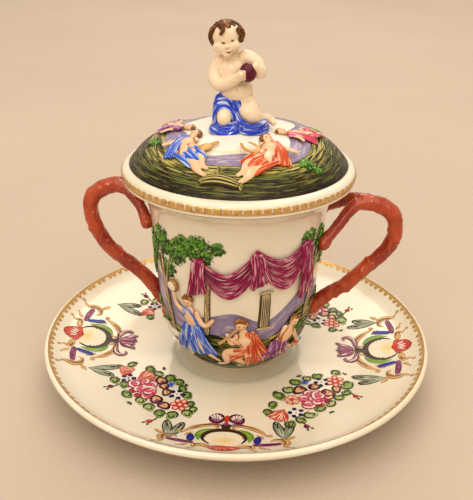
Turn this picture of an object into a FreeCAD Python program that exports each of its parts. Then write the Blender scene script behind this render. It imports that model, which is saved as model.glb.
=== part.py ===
import FreeCAD, Part
import math
import os

# A covered cup with two branch handles on its saucer, in millimetres.
# It is three fired pieces: the saucer, the cup with its handles, and the lid with its kneeling child.
# The origin is on the table under the centre of the saucer, +Z is up and the handles lie along X.

Vector = FreeCAD.Vector

# Saucer sizes
saucer_radius = 75.0
saucer_height = 16.0
saucer_floor_radius = 45.0
saucer_floor_thickness = 3.6
saucer_wall = 2.7
saucer_foot_radius = 41.0
saucer_foot_width = 2.6
saucer_foot_height = 3.4
well_margin = 6.8
well_depth = 0.6
saucer_rim_angle = 38.0

# Cup sizes
cup_height = 75.3
cup_foot_radius = 17.2
cup_foot_width = 3.0
cup_foot_height = 1.6
cup_neck_radius = 32.2
cup_lip_radius = 41.7
cup_wall = 2.6
cup_floor_thickness = 3.4
lip_rounding = 0.7

# The outside of the cup from foot to neck, as shares of the way out to the neck and up to the lip
CUP_OUTLINE = [(0.04, 0.022), (0.24, 0.064), (0.47, 0.119), (0.65, 0.186), (0.77, 0.279),
               (0.86, 0.412), (0.94, 0.598), (1.0, 0.784)]
# The flare of the mouth, as shares of the way from neck to lip and of the height
CUP_FLARE = [(0.29, 0.916), (1.0, 0.991)]

# Lid sizes
lid_overhang = 0.2
lid_edge_height = 1.9
flange_width = 2.8
lid_border_height = 4.1
lid_dome_height = 18.9
lid_wall = 2.8
lid_edge_rounding = 0.5
collar_depth = 4.0
collar_thickness = 2.2
collar_clearance = 0.6

# The dome from its border to its top, as shares of the border radius and of the rise
DOME_OUTLINE = [(0.96, 0.12), (0.89, 0.32), (0.79, 0.50), (0.66, 0.655), (0.51, 0.745),
                (0.36, 0.815), (0.20, 0.895)]

# Branch handles: reach past the neck of the cup, share of the cup's height, and half thickness
LEFT_STEM = [(-5.5, 0.245, 3.4), (-1.4, 0.320, 3.1), (4.1, 0.409, 2.8), (9.6, 0.475, 2.8),
             (15.4, 0.539, 2.75), (19.3, 0.605, 2.8), (22.2, 0.681, 2.9), (23.5, 0.760, 2.85),
             (22.9, 0.825, 3.05), (18.4, 0.884, 3.1), (12.6, 0.905, 3.1)]
RIGHT_STEM = [(-5.5, 0.235, 3.5), (-1.2, 0.300, 3.1), (4.8, 0.371, 2.65), (8.6, 0.406, 2.75),
              (15.5, 0.502, 2.9), (18.9, 0.551, 2.75), (22.8, 0.610, 2.8), (25.5, 0.684, 2.75),
              (25.9, 0.742, 2.75), (25.0, 0.796, 3.0), (18.8, 0.858, 3.1), (12.9, 0.870, 3.2)]
# Twigs that grasp the cup: reach, distance to the back, share of the height, and half thickness
LEFT_TWIGS = [
    [(15.5, 0.0, 0.897, 2.7), (10.6, -1.4, 0.903, 2.6), (5.6, -3.9, 0.866, 2.2), (2.5, -6.3, 0.813, 2.1)],
    [(15.5, 0.0, 0.897, 2.7), (10.0, 3.0, 0.900, 2.5), (5.2, 6.4, 0.862, 2.1), (2.2, 8.6, 0.820, 1.9)],
]
LEFT_TIPS = [(-8.4, 0.763, 2.5), (9.6, 0.792, 2.2)]
RIGHT_TWIGS = [
    [(16.0, 0.0, 0.866, 2.8), (11.4, -1.3, 0.864, 2.6), (7.0, -4.2, 0.815, 2.2), (2.9, -7.6, 0.755, 2.1)],
    [(16.0, 0.0, 0.866, 2.8), (9.6, 3.9, 0.862, 2.4), (4.6, 7.4, 0.818, 2.0), (1.8, 9.0, 0.795, 1.9)],
]
RIGHT_TIPS = [(-10.4, 0.705, 2.4), (9.8, 0.775, 2.1)]
tip_depth = 0.9

# The child, drawn from the top of the dome at this height and scaled to figure_height
figure_height = 34.0
DRAWN_HEIGHT = 34.0


def place(radius, height):
    """A point of a turned outline, in the XZ plane."""
    return Vector(radius, 0, height)


def line(start, end):
    """A straight edge."""
    return Part.LineSegment(start, end).toShape()


def arc(start, middle, end):
    """A round edge through three points."""
    return Part.Arc(start, middle, end).toShape()


def spline(points, first_direction=None, last_direction=None):
    """A smooth curve through the points, with its end directions when both are given."""
    curve = Part.BSplineCurve()
    if first_direction is None:
        curve.interpolate(Points=points)
    else:
        curve.interpolate(Points=points, InitialTangent=first_direction, FinalTangent=last_direction)
    return curve


def beside(curve, share, distance):
    """A point at a distance to the left of a curve in the XZ plane, at a share of its length."""
    first, last = curve.FirstParameter, curve.LastParameter
    parameter = first + share * (last - first)
    direction = curve.tangent(parameter)[0]
    return curve.value(parameter) + Vector(-direction.z, 0, direction.x) * distance


def radius_at(curve, height):
    """The radius of a rising outline at a height, found by halving."""
    low, high = curve.FirstParameter, curve.LastParameter
    for _ in range(40):
        middle = (low + high) / 2
        if curve.value(middle).z < height:
            low = middle
        else:
            high = middle
    return curve.value(low).x


def turned(edges):
    """The solid that an outline sweeps out about the Z axis."""
    face = Part.Face(Part.Wire(edges))
    return face.revolve(Vector(0, 0, 0), Vector(0, 0, 1), 360)


def ring(centre, direction, radius):
    """A round wire across a direction, with its seam always on the same side."""
    side = Vector(0, 1, 0)
    across = side.cross(direction).normalize()
    side = direction.cross(across).normalize()
    wire = Part.Wire(Part.Circle(Vector(0, 0, 0), Vector(0, 0, 1), radius).toShape())
    wire.Placement = FreeCAD.Placement(centre, FreeCAD.Rotation(side, Vector(), direction, "ZXY"))
    return wire


def branch(stations):
    """A knobbly stem of straight tapered runs through (centre, half thickness) stations."""
    rings = []
    for index, (centre, radius) in enumerate(stations):
        before = stations[max(index - 1, 0)][0]
        after = stations[min(index + 1, len(stations) - 1)][0]
        rings.append(ring(centre, (after - before).normalize(), radius))
    return Part.makeLoft(rings, True, True)


def ball(centre, radius):
    """A sphere about a centre."""
    return Part.makeSphere(radius, centre)


def egg(centre, half_sizes):
    """A sphere stretched to three half sizes."""
    matrix = FreeCAD.Matrix()
    matrix.scale(Vector(*half_sizes))
    matrix.move(centre)
    return Part.makeSphere(1.0).transformGeometry(matrix)


def limb(stations):
    """A round limb through (centre, radius) joints, with a ball at each joint."""
    pieces = [ball(*stations[0])]
    for (start, start_radius), (end, end_radius) in zip(stations, stations[1:]):
        reach = end - start
        if start_radius == end_radius:
            pieces.append(Part.makeCylinder(start_radius, reach.Length, start, reach))
        else:
            pieces.append(Part.makeCone(start_radius, end_radius, reach.Length, start, reach))
        pieces.append(ball(end, end_radius))
    return pieces


def joined(pieces):
    """The pieces fused one after the other."""
    whole = pieces[0]
    for piece in pieces[1:]:
        whole = whole.fuse(piece)
    return whole


def oval(centre, half_width, half_depth):
    """A level oval wire, wider than it is deep."""
    return Part.Wire(Part.Ellipse(centre, half_width, half_depth).toShape())


# Radii and heights that the pieces share
well_radius = cup_foot_radius + well_margin
lid_radius = cup_lip_radius + lid_overhang
lid_border_radius = lid_radius - flange_width
cup_seat = saucer_foot_height + saucer_floor_thickness
lid_seat = cup_seat + cup_height
dome_top = lid_seat + lid_dome_height


def saucer_curve():
    """The inner slope of the saucer, from its flat floor to the inside of the rim."""
    floor = cup_seat + well_depth
    lip = place(saucer_radius - saucer_wall / 2, saucer_height)
    width = lip.x - saucer_floor_radius
    rise = saucer_height - floor
    points = [
        place(saucer_floor_radius, floor),
        place(saucer_floor_radius + 0.45 * width, floor + 0.19 * rise),
        place(saucer_floor_radius + 0.85 * width, floor + 0.61 * rise),
        lip,
    ]
    slope = math.radians(saucer_rim_angle)
    return spline(points, Vector(0.45 * width, 0, 0), place(math.cos(slope), math.sin(slope)) * 0.2 * width)


def make_saucer():
    """The saucer: a dished plate with a foot ring and a shallow well for the cup."""
    inside = saucer_curve()
    floor = cup_seat + well_depth
    lip = inside.value(inside.LastParameter)
    under = [beside(inside, share, -saucer_wall) for share in (1.0, 0.86, 0.6, 0.3)]
    tip = place(saucer_radius, (lip.z + under[0].z) / 2)
    under[0] = place(saucer_radius - saucer_wall / 3, lip.z - saucer_wall)
    foot_top = place(saucer_foot_radius + 0.8, saucer_foot_height + 0.3)
    outside = spline(under + [foot_top])
    edge = 0.7
    foot_inner = saucer_foot_radius - saucer_foot_width
    corners = [
        foot_top,
        place(saucer_foot_radius, edge),
        place(saucer_foot_radius - edge, 0),
        place(foot_inner + edge, 0),
        place(foot_inner, edge),
        place(foot_inner - 0.8, saucer_foot_height),
        place(0, saucer_foot_height),
        place(0, cup_seat),
        place(well_radius, cup_seat),
        place(well_radius + 2 * well_depth, floor),
        place(saucer_floor_radius, floor),
    ]
    edges = [line(corners[index], corners[index + 1]) for index in range(len(corners) - 1)]
    edges += [inside.toShape(), arc(lip, tip, under[0]), outside.toShape()]
    return turned(Part.__sortEdges__(edges))


def cup_curve():
    """The outside of the cup, from just above its foot to the edge of its lip."""
    points = []
    for out, up in CUP_OUTLINE:
        radius = cup_foot_radius + out * (cup_neck_radius - cup_foot_radius)
        points.append(place(radius, cup_seat + up * cup_height))
    for out, up in CUP_FLARE:
        radius = cup_neck_radius + out * (cup_lip_radius - cup_neck_radius)
        points.append(place(radius, cup_seat + up * cup_height))
    return spline(points)


def cup_hollow_curve():
    """The inside of the cup, one wall in from its outside, from the floor to above the lip."""
    outside = cup_curve()
    shares = [0.19, 0.26, 0.34, 0.45, 0.56, 0.68, 0.80, 0.90, 0.96, 1.0]
    walls = [beside(outside, share, cup_wall) for share in shares]
    floor = cup_seat + cup_foot_height + cup_floor_thickness
    start = place(0, floor)
    return spline([start, place(0.55 * cup_foot_radius, floor)] + walls)


def make_cup_outside():
    """The solid cup before it is hollowed, standing on its foot ring."""
    outside = cup_curve()
    first = outside.value(outside.FirstParameter)
    last = outside.value(outside.LastParameter)
    inner = cup_foot_radius - cup_foot_width
    recess = cup_seat + cup_foot_height
    edge = 0.4
    bend = lip_rounding * (1 - math.sqrt(0.5))
    corners = [
        place(0, lid_seat),
        place(0, recess),
        place(inner, recess),
        place(inner, cup_seat + edge),
        place(inner + edge, cup_seat),
        place(cup_foot_radius - edge, cup_seat),
        place(cup_foot_radius, cup_seat + edge),
        first,
    ]
    edges = [line(corners[index], corners[index + 1]) for index in range(len(corners) - 1)]
    rim = place(last.x - lip_rounding, lid_seat)
    edges += [outside.toShape(), arc(last, place(last.x - bend, lid_seat - bend), rim)]
    edges.append(line(rim, corners[0]))
    return turned(Part.__sortEdges__(edges))


def make_cup_hollow():
    """The space inside the cup, reaching a little above its lip."""
    inside = cup_hollow_curve()
    top = inside.value(inside.LastParameter)
    over = place(0, top.z)
    floor = inside.value(inside.FirstParameter)
    return turned([inside.toShape(), line(top, over), line(over, floor)])


def make_handle(side, stem, twigs, tips):
    """One branch handle: a stem from the belly that forks into two twigs with knobs on the cup."""
    outside = cup_curve()
    centres = [(Vector(side * (cup_neck_radius + reach), 0, cup_seat + up * cup_height), radius)
               for reach, up, radius in stem]
    pieces = [branch(centres), ball(*centres[-1])]
    for twig, (back, up, radius) in zip(twigs, tips):
        stations = [(Vector(side * (cup_neck_radius + reach), depth, cup_seat + share * cup_height), half)
                    for reach, depth, share, half in twig]
        height = cup_seat + up * cup_height
        from_axis = radius_at(outside, height) + radius - tip_depth
        across = math.sqrt(from_axis ** 2 - back ** 2)
        tip = Vector(side * across, back, height)
        stations.append((tip, radius))
        pieces += [branch(stations), ball(tip, radius)]
    return pieces


def make_cup():
    """The cup with both handles, fired as one piece."""
    handles = make_handle(-1, LEFT_STEM, LEFT_TWIGS, LEFT_TIPS)
    handles += make_handle(1, RIGHT_STEM, RIGHT_TWIGS, RIGHT_TIPS)
    return joined([make_cup_outside()] + handles).cut(make_cup_hollow())


def dome_curve():
    """The outside of the dome, from its border to its top."""
    border = place(lid_border_radius, lid_seat + lid_border_height)
    rise = dome_top - border.z
    points = [border]
    points += [place(out * lid_border_radius, border.z + up * rise) for out, up in DOME_OUTLINE]
    points.append(place(0, dome_top))
    return spline(points)


def make_lid_outside():
    """The solid lid before it is hollowed: dome, rounded flange and locating collar."""
    dome = dome_curve()
    border = dome.value(dome.FirstParameter)
    edge_top = place(lid_radius, lid_seat + lid_edge_height)
    swell = place((lid_radius + border.x) / 2 + 0.45, (edge_top.z + border.z) / 2 + 0.45)
    mouth = radius_at(cup_hollow_curve(), lid_seat - collar_depth)
    collar = mouth - collar_clearance
    corners = [
        edge_top,
        place(lid_radius, lid_seat + lid_edge_rounding),
        place(lid_radius - lid_edge_rounding, lid_seat),
        place(collar, lid_seat),
        place(collar, lid_seat - collar_depth),
        place(0, lid_seat - collar_depth),
        place(0, dome_top),
    ]
    edges = [line(corners[index], corners[index + 1]) for index in range(len(corners) - 1)]
    edges += [arc(edge_top, swell, border), dome.toShape()]
    return turned(Part.__sortEdges__(edges)), collar


def make_lid_hollow(collar):
    """The space under the dome, inside the collar."""
    dome = dome_curve()
    opening = collar - collar_thickness
    under = [beside(dome, share, lid_wall) for share in (0.28, 0.42, 0.56, 0.70, 0.85, 1.0)]
    top = place(0, under[-1].z)
    under[-1] = top
    inside = spline(under)
    low = lid_seat - collar_depth - 1.0
    corners = [top, place(0, low), place(opening, low), place(opening, lid_seat + 0.5), under[0]]
    edges = [line(corners[index], corners[index + 1]) for index in range(len(corners) - 1)]
    return turned(Part.__sortEdges__(edges + [inside.toShape()]))


def make_figure():
    """The kneeling child with a ball, on gathered drapery, as solids to join to the dome."""
    scale = figure_height / DRAWN_HEIGHT

    def spot(x, y, z):
        """A point of the figure, measured from the top of the dome."""
        return Vector(x, y, z) * scale + Vector(0, 0, dome_top)

    torso = [
        (spot(-0.8, 0.8, 1.5), 6.4, 5.0),
        (spot(-1.0, 0.6, 5.5), 6.3, 4.9),
        (spot(-1.6, 0.2, 10.2), 5.5, 4.4),
        (spot(-2.3, 0.0, 14.2), 5.9, 4.5),
        (spot(-2.8, 0.3, 18.2), 6.3, 4.2),
        (spot(-3.1, 0.4, 21.3), 5.2, 3.3),
        (spot(-3.5, 0.3, 23.4), 2.6, 2.5),
        (spot(-3.8, 0.0, 25.4), 2.3, 2.3),
    ]
    sections = [oval(centre, wide * scale, deep * scale) for centre, wide, deep in torso]
    pieces = [Part.makeLoft(sections, True, False)]
    for centre, half_sizes in (
        (spot(-4.4, -0.8, 28.1), (5.5, 5.7, 5.7)),
        (spot(-4.5, 0.1, 28.6), (6.0, 6.0, 5.4)),
    ):
        pieces.append(egg(centre, [half * scale for half in half_sizes]))
    limbs = [
        # Right arm, across to the ball
        [(-8.2, 0.4, 19.9, 2.6), (-7.2, -1.8, 13.4, 2.2), (0.3, -6.8, 17.2, 1.6)],
        # Left arm, bent up to the ball
        [(3.1, 0.4, 20.6, 2.6), (6.3, -0.8, 16.4, 2.0), (5.6, -5.0, 19.8, 1.5)],
        # Right thigh, with its knee to the front
        [(-3.6, 0.0, 6.2, 4.3), (-4.4, -7.0, 3.9, 3.3)],
        # Left thigh, shin and foot, folded to the side
        [(2.2, 0.0, 6.3, 4.4), (5.9, -4.6, 2.4, 3.4), (10.9, -0.6, -0.4, 1.6), (12.4, 1.6, -0.8, 1.2)],
        # Drapery over the right thigh, between the legs and gathered on the dome
        [(-4.6, -0.6, 8.4, 3.8), (-4.5, -5.4, 4.6, 4.4)],
        [(-0.6, -4.6, 5.0, 2.6), (0.6, -7.4, -0.6, 3.0)],
        [(-7.6, -5.6, -0.6, 2.3), (-4.0, -8.2, -1.2, 2.4), (0.6, -7.6, -0.6, 2.8), (6.0, -8.0, -1.4, 2.4),
         (9.6, -5.2, -1.2, 2.1)],
    ]
    for stations in limbs:
        pieces += limb([(spot(x, y, z), radius * scale) for x, y, z, radius in stations])
    pieces.append(ball(spot(3.3, -6.8, 18.1), 3.4 * scale))
    base = [
        (spot(0.4, -1.2, -5.0), 9.6, 7.6),
        (spot(0.4, -1.2, -1.2), 9.4, 7.4),
        (spot(0.2, -0.8, 2.4), 7.4, 6.0),
    ]
    sections = [oval(centre, wide * scale, deep * scale) for centre, wide, deep in base]
    pieces.append(Part.makeLoft(sections, True, False))
    return pieces


def make_lid():
    """The lid with its figure, fired as one piece."""
    outside, collar = make_lid_outside()
    return outside.fuse(joined(make_figure())).cut(make_lid_hollow(collar))


def main():
    """Write one STEP file for each piece."""
    os.makedirs("parts", exist_ok=True)
    for name, make in (("saucer", make_saucer), ("cup", make_cup), ("lid", make_lid)):
        solid = make().Solids[0]
        box = solid.optimalBoundingBox()
        corners = (box.XMin, box.XMax, box.YMin, box.YMax, box.ZMin, box.ZMax)
        print(name, solid.isValid(), round(solid.Volume), [round(value, 2) for value in corners])
        solid.exportStep(f"parts/{name}.step")


main()
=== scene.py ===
"""A covered porcelain cup on its saucer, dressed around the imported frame.

Every shape is worked out in millimetres and brought to metres when its mesh is made. The table top
is z = 0, the handles lie along X and the front of the cup faces -Y.
"""

import logging
import math
import random
from dataclasses import dataclass, replace
from enum import Enum
from typing import Callable, Optional, Sequence

import bmesh
import bpy
import numpy as np
from mathutils import Euler, Matrix, Vector, noise
from mathutils.bvhtree import BVHTree

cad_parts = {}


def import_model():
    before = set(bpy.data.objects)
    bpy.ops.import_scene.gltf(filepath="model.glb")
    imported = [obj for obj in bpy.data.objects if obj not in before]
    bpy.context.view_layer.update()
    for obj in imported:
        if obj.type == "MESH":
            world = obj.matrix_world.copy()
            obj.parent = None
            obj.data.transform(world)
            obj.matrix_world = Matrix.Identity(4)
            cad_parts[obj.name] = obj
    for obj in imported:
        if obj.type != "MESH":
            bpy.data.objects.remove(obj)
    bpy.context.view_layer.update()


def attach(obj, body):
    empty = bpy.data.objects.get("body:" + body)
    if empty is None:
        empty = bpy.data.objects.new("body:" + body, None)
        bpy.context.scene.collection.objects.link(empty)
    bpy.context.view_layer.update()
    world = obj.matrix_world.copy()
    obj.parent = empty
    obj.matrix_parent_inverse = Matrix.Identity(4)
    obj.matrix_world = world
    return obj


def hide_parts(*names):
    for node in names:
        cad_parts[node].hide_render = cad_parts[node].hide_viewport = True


LOG = logging.getLogger("covered_cup")
MM = 0.001
BODY = "root"
FRONT = 270.0
GOLDEN_ANGLE = 2.39996
Point = Sequence[float]
Colour = tuple[float, float, float]
Material = bpy.types.Material
Socket = bpy.types.NodeSocket


class Slot(Enum):
    """The material slots, by name."""

    GLAZE = "white_glaze"
    PAINT = "painted_enamel"
    CORAL = "coral_enamel"
    FLESH = "flesh_enamel"
    BLUE = "blue_enamel"
    GOLD = "gilding"


def spline(points: Sequence[Point], steps: int) -> np.ndarray:
    """A smooth curve through points of any dimension.

    Args:
        points: The points that the curve goes through.
        steps: How many points to return along it.

    Returns:
        The points of the curve, one a row.
    """
    knots = np.array(points, float)
    count = len(knots)
    at = np.concatenate([[0.0], np.cumsum(np.linalg.norm(np.diff(knots, axis=0), axis=1))])
    gap = np.diff(at)
    left = np.eye(count)
    right = np.zeros_like(knots)
    for i in range(1, count - 1):
        left[i, i - 1 : i + 2] = gap[i - 1], 2 * (gap[i - 1] + gap[i]), gap[i]
        right[i] = 6 * ((knots[i + 1] - knots[i]) / gap[i] - (knots[i] - knots[i - 1]) / gap[i - 1])
    bend = np.linalg.solve(left, right)
    where = np.linspace(0, at[-1], steps)
    i = np.clip(np.searchsorted(at, where) - 1, 0, count - 2)
    past = (where - at[i])[:, None]
    ahead = (at[i + 1] - where)[:, None]
    wide = gap[i][:, None]
    curve = (bend[i] * ahead**3 + bend[i + 1] * past**3) / (6 * wide)
    curve += (knots[i] / wide - bend[i] * wide / 6) * ahead
    return curve + (knots[i + 1] / wide - bend[i + 1] * wide / 6) * past


def tint(code: int) -> Colour:
    """The linear colour of a screen colour such as 0xC02818."""
    shares = [(code >> shift & 255) / 255 for shift in (16, 8, 0)]
    return tuple(s / 12.92 if s <= 0.04045 else ((s + 0.055) / 1.055) ** 2.4 for s in shares)


def spoke(x: float, y: float, reach: float, way: float, rise: Optional[float] = None) -> tuple[float, float]:
    """The point at a direction in radians from another point, on a circle or on an oval."""
    return x + reach * math.cos(way), y + (reach if rise is None else rise) * math.sin(way)


def part_way(start: Point, end: Point, share: float) -> tuple[float, ...]:
    """The point at a share of the way from one point to another."""
    return tuple(a * (1 - share) + b * share for a, b in zip(start, end))


def level_line(length: float) -> Callable[[np.ndarray], np.ndarray]:
    """A line that runs all round a wall at one length."""
    return lambda angle: 0 * angle + length


class Nodes:
    """A small helper that adds and links the nodes of one material."""

    def __init__(self, name: str) -> None:
        """Starts a material that holds only a shader and its output.

        Args:
            name: The material's name.
        """
        self.material = bpy.data.materials.new(name)
        self.material.use_nodes = True
        self.tree = self.material.node_tree
        self.shader = self.tree.nodes["Principled BSDF"]
        self.coordinates = self.tree.nodes.new("ShaderNodeTexCoord").outputs["Object"]

    def add(self, kind: str, inputs: Optional[dict] = None, **settings: object) -> bpy.types.Node:
        """Adds a node.

        Args:
            kind: The node's type, without the ShaderNode prefix.
            inputs: Values or sockets for its inputs, by name or number.
            settings: Properties of the node.

        Returns:
            The node.
        """
        node = self.tree.nodes.new("ShaderNode" + kind)
        for key, value in settings.items():
            setattr(node, key, value)
        for key, value in (inputs or {}).items():
            self.put(node.inputs[key], value)
        return node

    def put(self, socket: Socket, value: object) -> None:
        """Links a socket to another one, or sets its value.

        Args:
            socket: The socket.
            value: Another socket, a colour or a number.
        """
        if isinstance(value, Socket):
            self.tree.links.new(value, socket)
        elif isinstance(value, tuple) and len(value) == 3 and socket.type == "RGBA":
            socket.default_value = (*value, 1.0)
        else:
            socket.default_value = value

    def noise(self, scale: float, detail: float = 3.0, stretch: Point = (1, 1, 1),
              source: Optional[Socket] = None) -> Socket:
        """A noise pattern from 0 to 1, its scale counted per metre.

        Args:
            scale: How many cells lie along a metre.
            detail: How many finer levels are added.
            stretch: How much the pattern is squeezed along each axis.
            source: The coordinates, or the object's own.

        Returns:
            The pattern's socket.
        """
        mapped = self.add("Mapping", {"Vector": source or self.coordinates, "Scale": tuple(stretch)})
        node = self.add("TexNoise", {"Vector": mapped.outputs[0], "Scale": scale, "Detail": detail})
        return node.outputs["Fac"]

    def mix(self, share: object, first: object, second: object) -> Socket:
        """A colour between two colours.

        Args:
            share: How much of the second colour shows.
            first: The first colour.
            second: The second colour.

        Returns:
            The colour's socket.
        """
        node = self.add("Mix", data_type="RGBA")
        self.put(node.inputs["Factor"], share)
        self.put(node.inputs["A"], first)
        self.put(node.inputs["B"], second)
        return node.outputs["Result"]

    def ramp(self, value: Socket, low: float, high: float) -> Socket:
        """A value brought from the range low to high to the range 0 to 1.

        Args:
            value: The value.
            low: What becomes 0.
            high: What becomes 1.

        Returns:
            The result's socket.
        """
        node = self.add("MapRange", {"Value": value, "From Min": low, "From Max": high}, clamp=True)
        node.interpolation_type = "SMOOTHSTEP"
        return node.outputs["Result"]

    def math(self, operation: str, first: object, second: object = 0.0) -> Socket:
        """A sum, product or other operation on two values."""
        return self.add("Math", {0: first, 1: second}, operation=operation).outputs[0]

    def bump(self, height: Socket, depth: float) -> None:
        """Gives the shader a bump, its depth counted in metres."""
        node = self.add("Bump", {"Height": height, "Distance": depth, "Strength": 1.0})
        self.put(self.shader.inputs["Normal"], node.outputs[0])

    def gloss(self, roughness: float, coat: float = 0.0) -> None:
        """Sets the shader's plain values.

        Args:
            roughness: How rough the surface is.
            coat: How strong its clear coat is.
        """
        self.shader.inputs["Roughness"].default_value = roughness
        self.shader.inputs["Coat Weight"].default_value = coat
        self.shader.inputs["Coat Roughness"].default_value = 0.04


@dataclass(frozen=True)
class Glaze:
    """Warm white porcelain glaze, a little uneven in tone and level."""

    name: str = "white_glaze"
    colour: Colour = (0.87, 0.80, 0.66)
    shade: Colour = (0.81, 0.72, 0.56)
    roughness: float = 0.16

    def build(self) -> Material:
        """Builds the material.

        Returns:
            The material.
        """
        nodes = Nodes(self.name)
        cloud = nodes.ramp(nodes.noise(22.0, 2.0), 0.35, 0.75)
        speck = nodes.ramp(nodes.noise(1700.0, 1.0), 0.72, 0.80)
        tone = nodes.mix(cloud, self.colour, self.shade)
        tone = nodes.mix(nodes.math("MULTIPLY", speck, 0.25), tone, (0.45, 0.33, 0.20))
        nodes.put(nodes.shader.inputs["Base Color"], tone)
        nodes.gloss(self.roughness, coat=0.35)
        nodes.shader.inputs["Subsurface Weight"].default_value = 0.08
        nodes.shader.inputs["Subsurface Radius"].default_value = (0.003, 0.002, 0.0012)
        nodes.bump(nodes.noise(60.0, 2.0), 0.00012)
        return nodes.material


@dataclass(frozen=True)
class Coral:
    """Coral red enamel with painted shade in the low places of its bump, and lighter along its raised fine
    grain.
    """

    name: str = "coral_enamel"
    colour: Colour = (0.52, 0.075, 0.014)
    # the painted shade colour of the bump's low places
    dark: Colour = (0.32, 0.028, 0.006)
    light: Colour = (0.60, 0.12, 0.03)

    def build(self) -> Material:
        """Builds the material.

        Returns:
            The material.
        """
        nodes = Nodes(self.name)
        broad = nodes.noise(120.0, 3.0)
        fine = nodes.noise(900.0, 3.0, (1, 1, 0.35))
        # painted shade: the dark colour shows where the broad noise is low, where the bump below sinks the
        # surface
        tone = nodes.mix(nodes.ramp(broad, 0.38, 0.68), self.dark, self.colour)
        tone = nodes.mix(nodes.math("MULTIPLY", nodes.ramp(fine, 0.52, 0.75), 0.6), tone, self.light)
        nodes.put(nodes.shader.inputs["Base Color"], tone)
        nodes.gloss(0.2, coat=0.6)
        nodes.bump(nodes.math("ADD", broad, nodes.math("MULTIPLY", fine, 0.25)), 0.00035)
        return nodes.material


@dataclass(frozen=True)
class Gold:
    """Fired gold, burnished or worn to brown."""

    name: str = "gilding"
    colour: Colour = (0.74, 0.47, 0.19)
    worn: Colour = (0.44, 0.25, 0.09)
    roughness: float = 0.24
    wear: float = 0.5

    def build(self) -> Material:
        """Builds the material.

        Returns:
            The material.
        """
        nodes = Nodes(self.name)
        patch = nodes.ramp(nodes.noise(900.0, 4.0), 0.62 - 0.3 * self.wear, 0.85 - 0.2 * self.wear)
        nodes.put(nodes.shader.inputs["Base Color"], nodes.mix(patch, self.colour, self.worn))
        rough = nodes.add("MapRange", {"Value": patch, "To Min": self.roughness, "To Max": 0.55})
        nodes.put(nodes.shader.inputs["Roughness"], rough.outputs[0])
        nodes.shader.inputs["Metallic"].default_value = 0.7
        nodes.bump(nodes.noise(2500.0, 2.0), 0.00003)
        return nodes.material


@dataclass(frozen=True)
class PaintedEnamel:
    """Enamel laid on with a brush: its colours come from the attributes of the marks."""

    name: str = "painted_enamel"
    roughness: float = 0.24
    coat: float = 0.05

    def build(self) -> Material:
        """Builds the material.

        Returns:
            The material.
        """
        nodes = Nodes(self.name)
        fill, light, edge, rim, brush = (nodes.add("Attribute", attribute_name=key)
                                         for key in ("fill", "light", "edge", "rim", "brush"))
        hair = nodes.add("TexNoise", {"Vector": brush.outputs["Vector"], "Scale": 1.6, "Detail": 1.6})
        streak = nodes.ramp(hair.outputs["Fac"], 0.5, 0.62)
        streak = nodes.math("MULTIPLY", streak, light.outputs["Alpha"])
        tone = nodes.mix(streak, fill.outputs["Color"], light.outputs["Color"])
        # the edge colour: an outline on flat marks; on fused shapes it is also painted shade in creases and
        # fold valleys
        past = nodes.math("SUBTRACT", nodes.math("ADD", rim.outputs["Fac"], edge.outputs["Alpha"]), 1.0)
        soft = fill.outputs["Alpha"]
        share = nodes.add("MapRange", {"Value": past, "From Min": nodes.math("MULTIPLY", soft, -1.0),
                                       "From Max": soft}, clamp=True)
        tone = nodes.mix(share.outputs["Result"], tone, edge.outputs["Color"])
        cloud = nodes.ramp(nodes.noise(420.0, 3.0), 0.45, 0.8)
        dark = nodes.add("Mix", {"Factor": 1.0}, data_type="RGBA", blend_type="MULTIPLY")
        nodes.put(dark.inputs["A"], tone)
        nodes.put(dark.inputs["B"], (0.72, 0.68, 0.62))
        tone = nodes.mix(nodes.math("MULTIPLY", cloud, 0.3), tone, dark.outputs["Result"])
        nodes.put(nodes.shader.inputs["Base Color"], tone)
        nodes.gloss(self.roughness, coat=self.coat)
        nodes.shader.inputs["Specular IOR Level"].default_value = 0.3
        nodes.bump(hair.outputs["Fac"], 0.00008)
        return nodes.material


@dataclass(frozen=True)
class Cloth:
    """The pale table cover and backdrop of the studio."""

    name: str
    colour: Colour

    def build(self) -> Material:
        """Builds the material.

        Returns:
            The material.
        """
        nodes = Nodes(self.name)
        cloud = nodes.ramp(nodes.noise(5.0, 3.0), 0.3, 0.8)
        dark = tuple(part * 0.94 for part in self.colour)
        nodes.put(nodes.shader.inputs["Base Color"], nodes.mix(cloud, self.colour, dark))
        nodes.gloss(0.9)
        nodes.bump(nodes.noise(700.0, 2.0), 0.0002)
        return nodes.material


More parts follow.
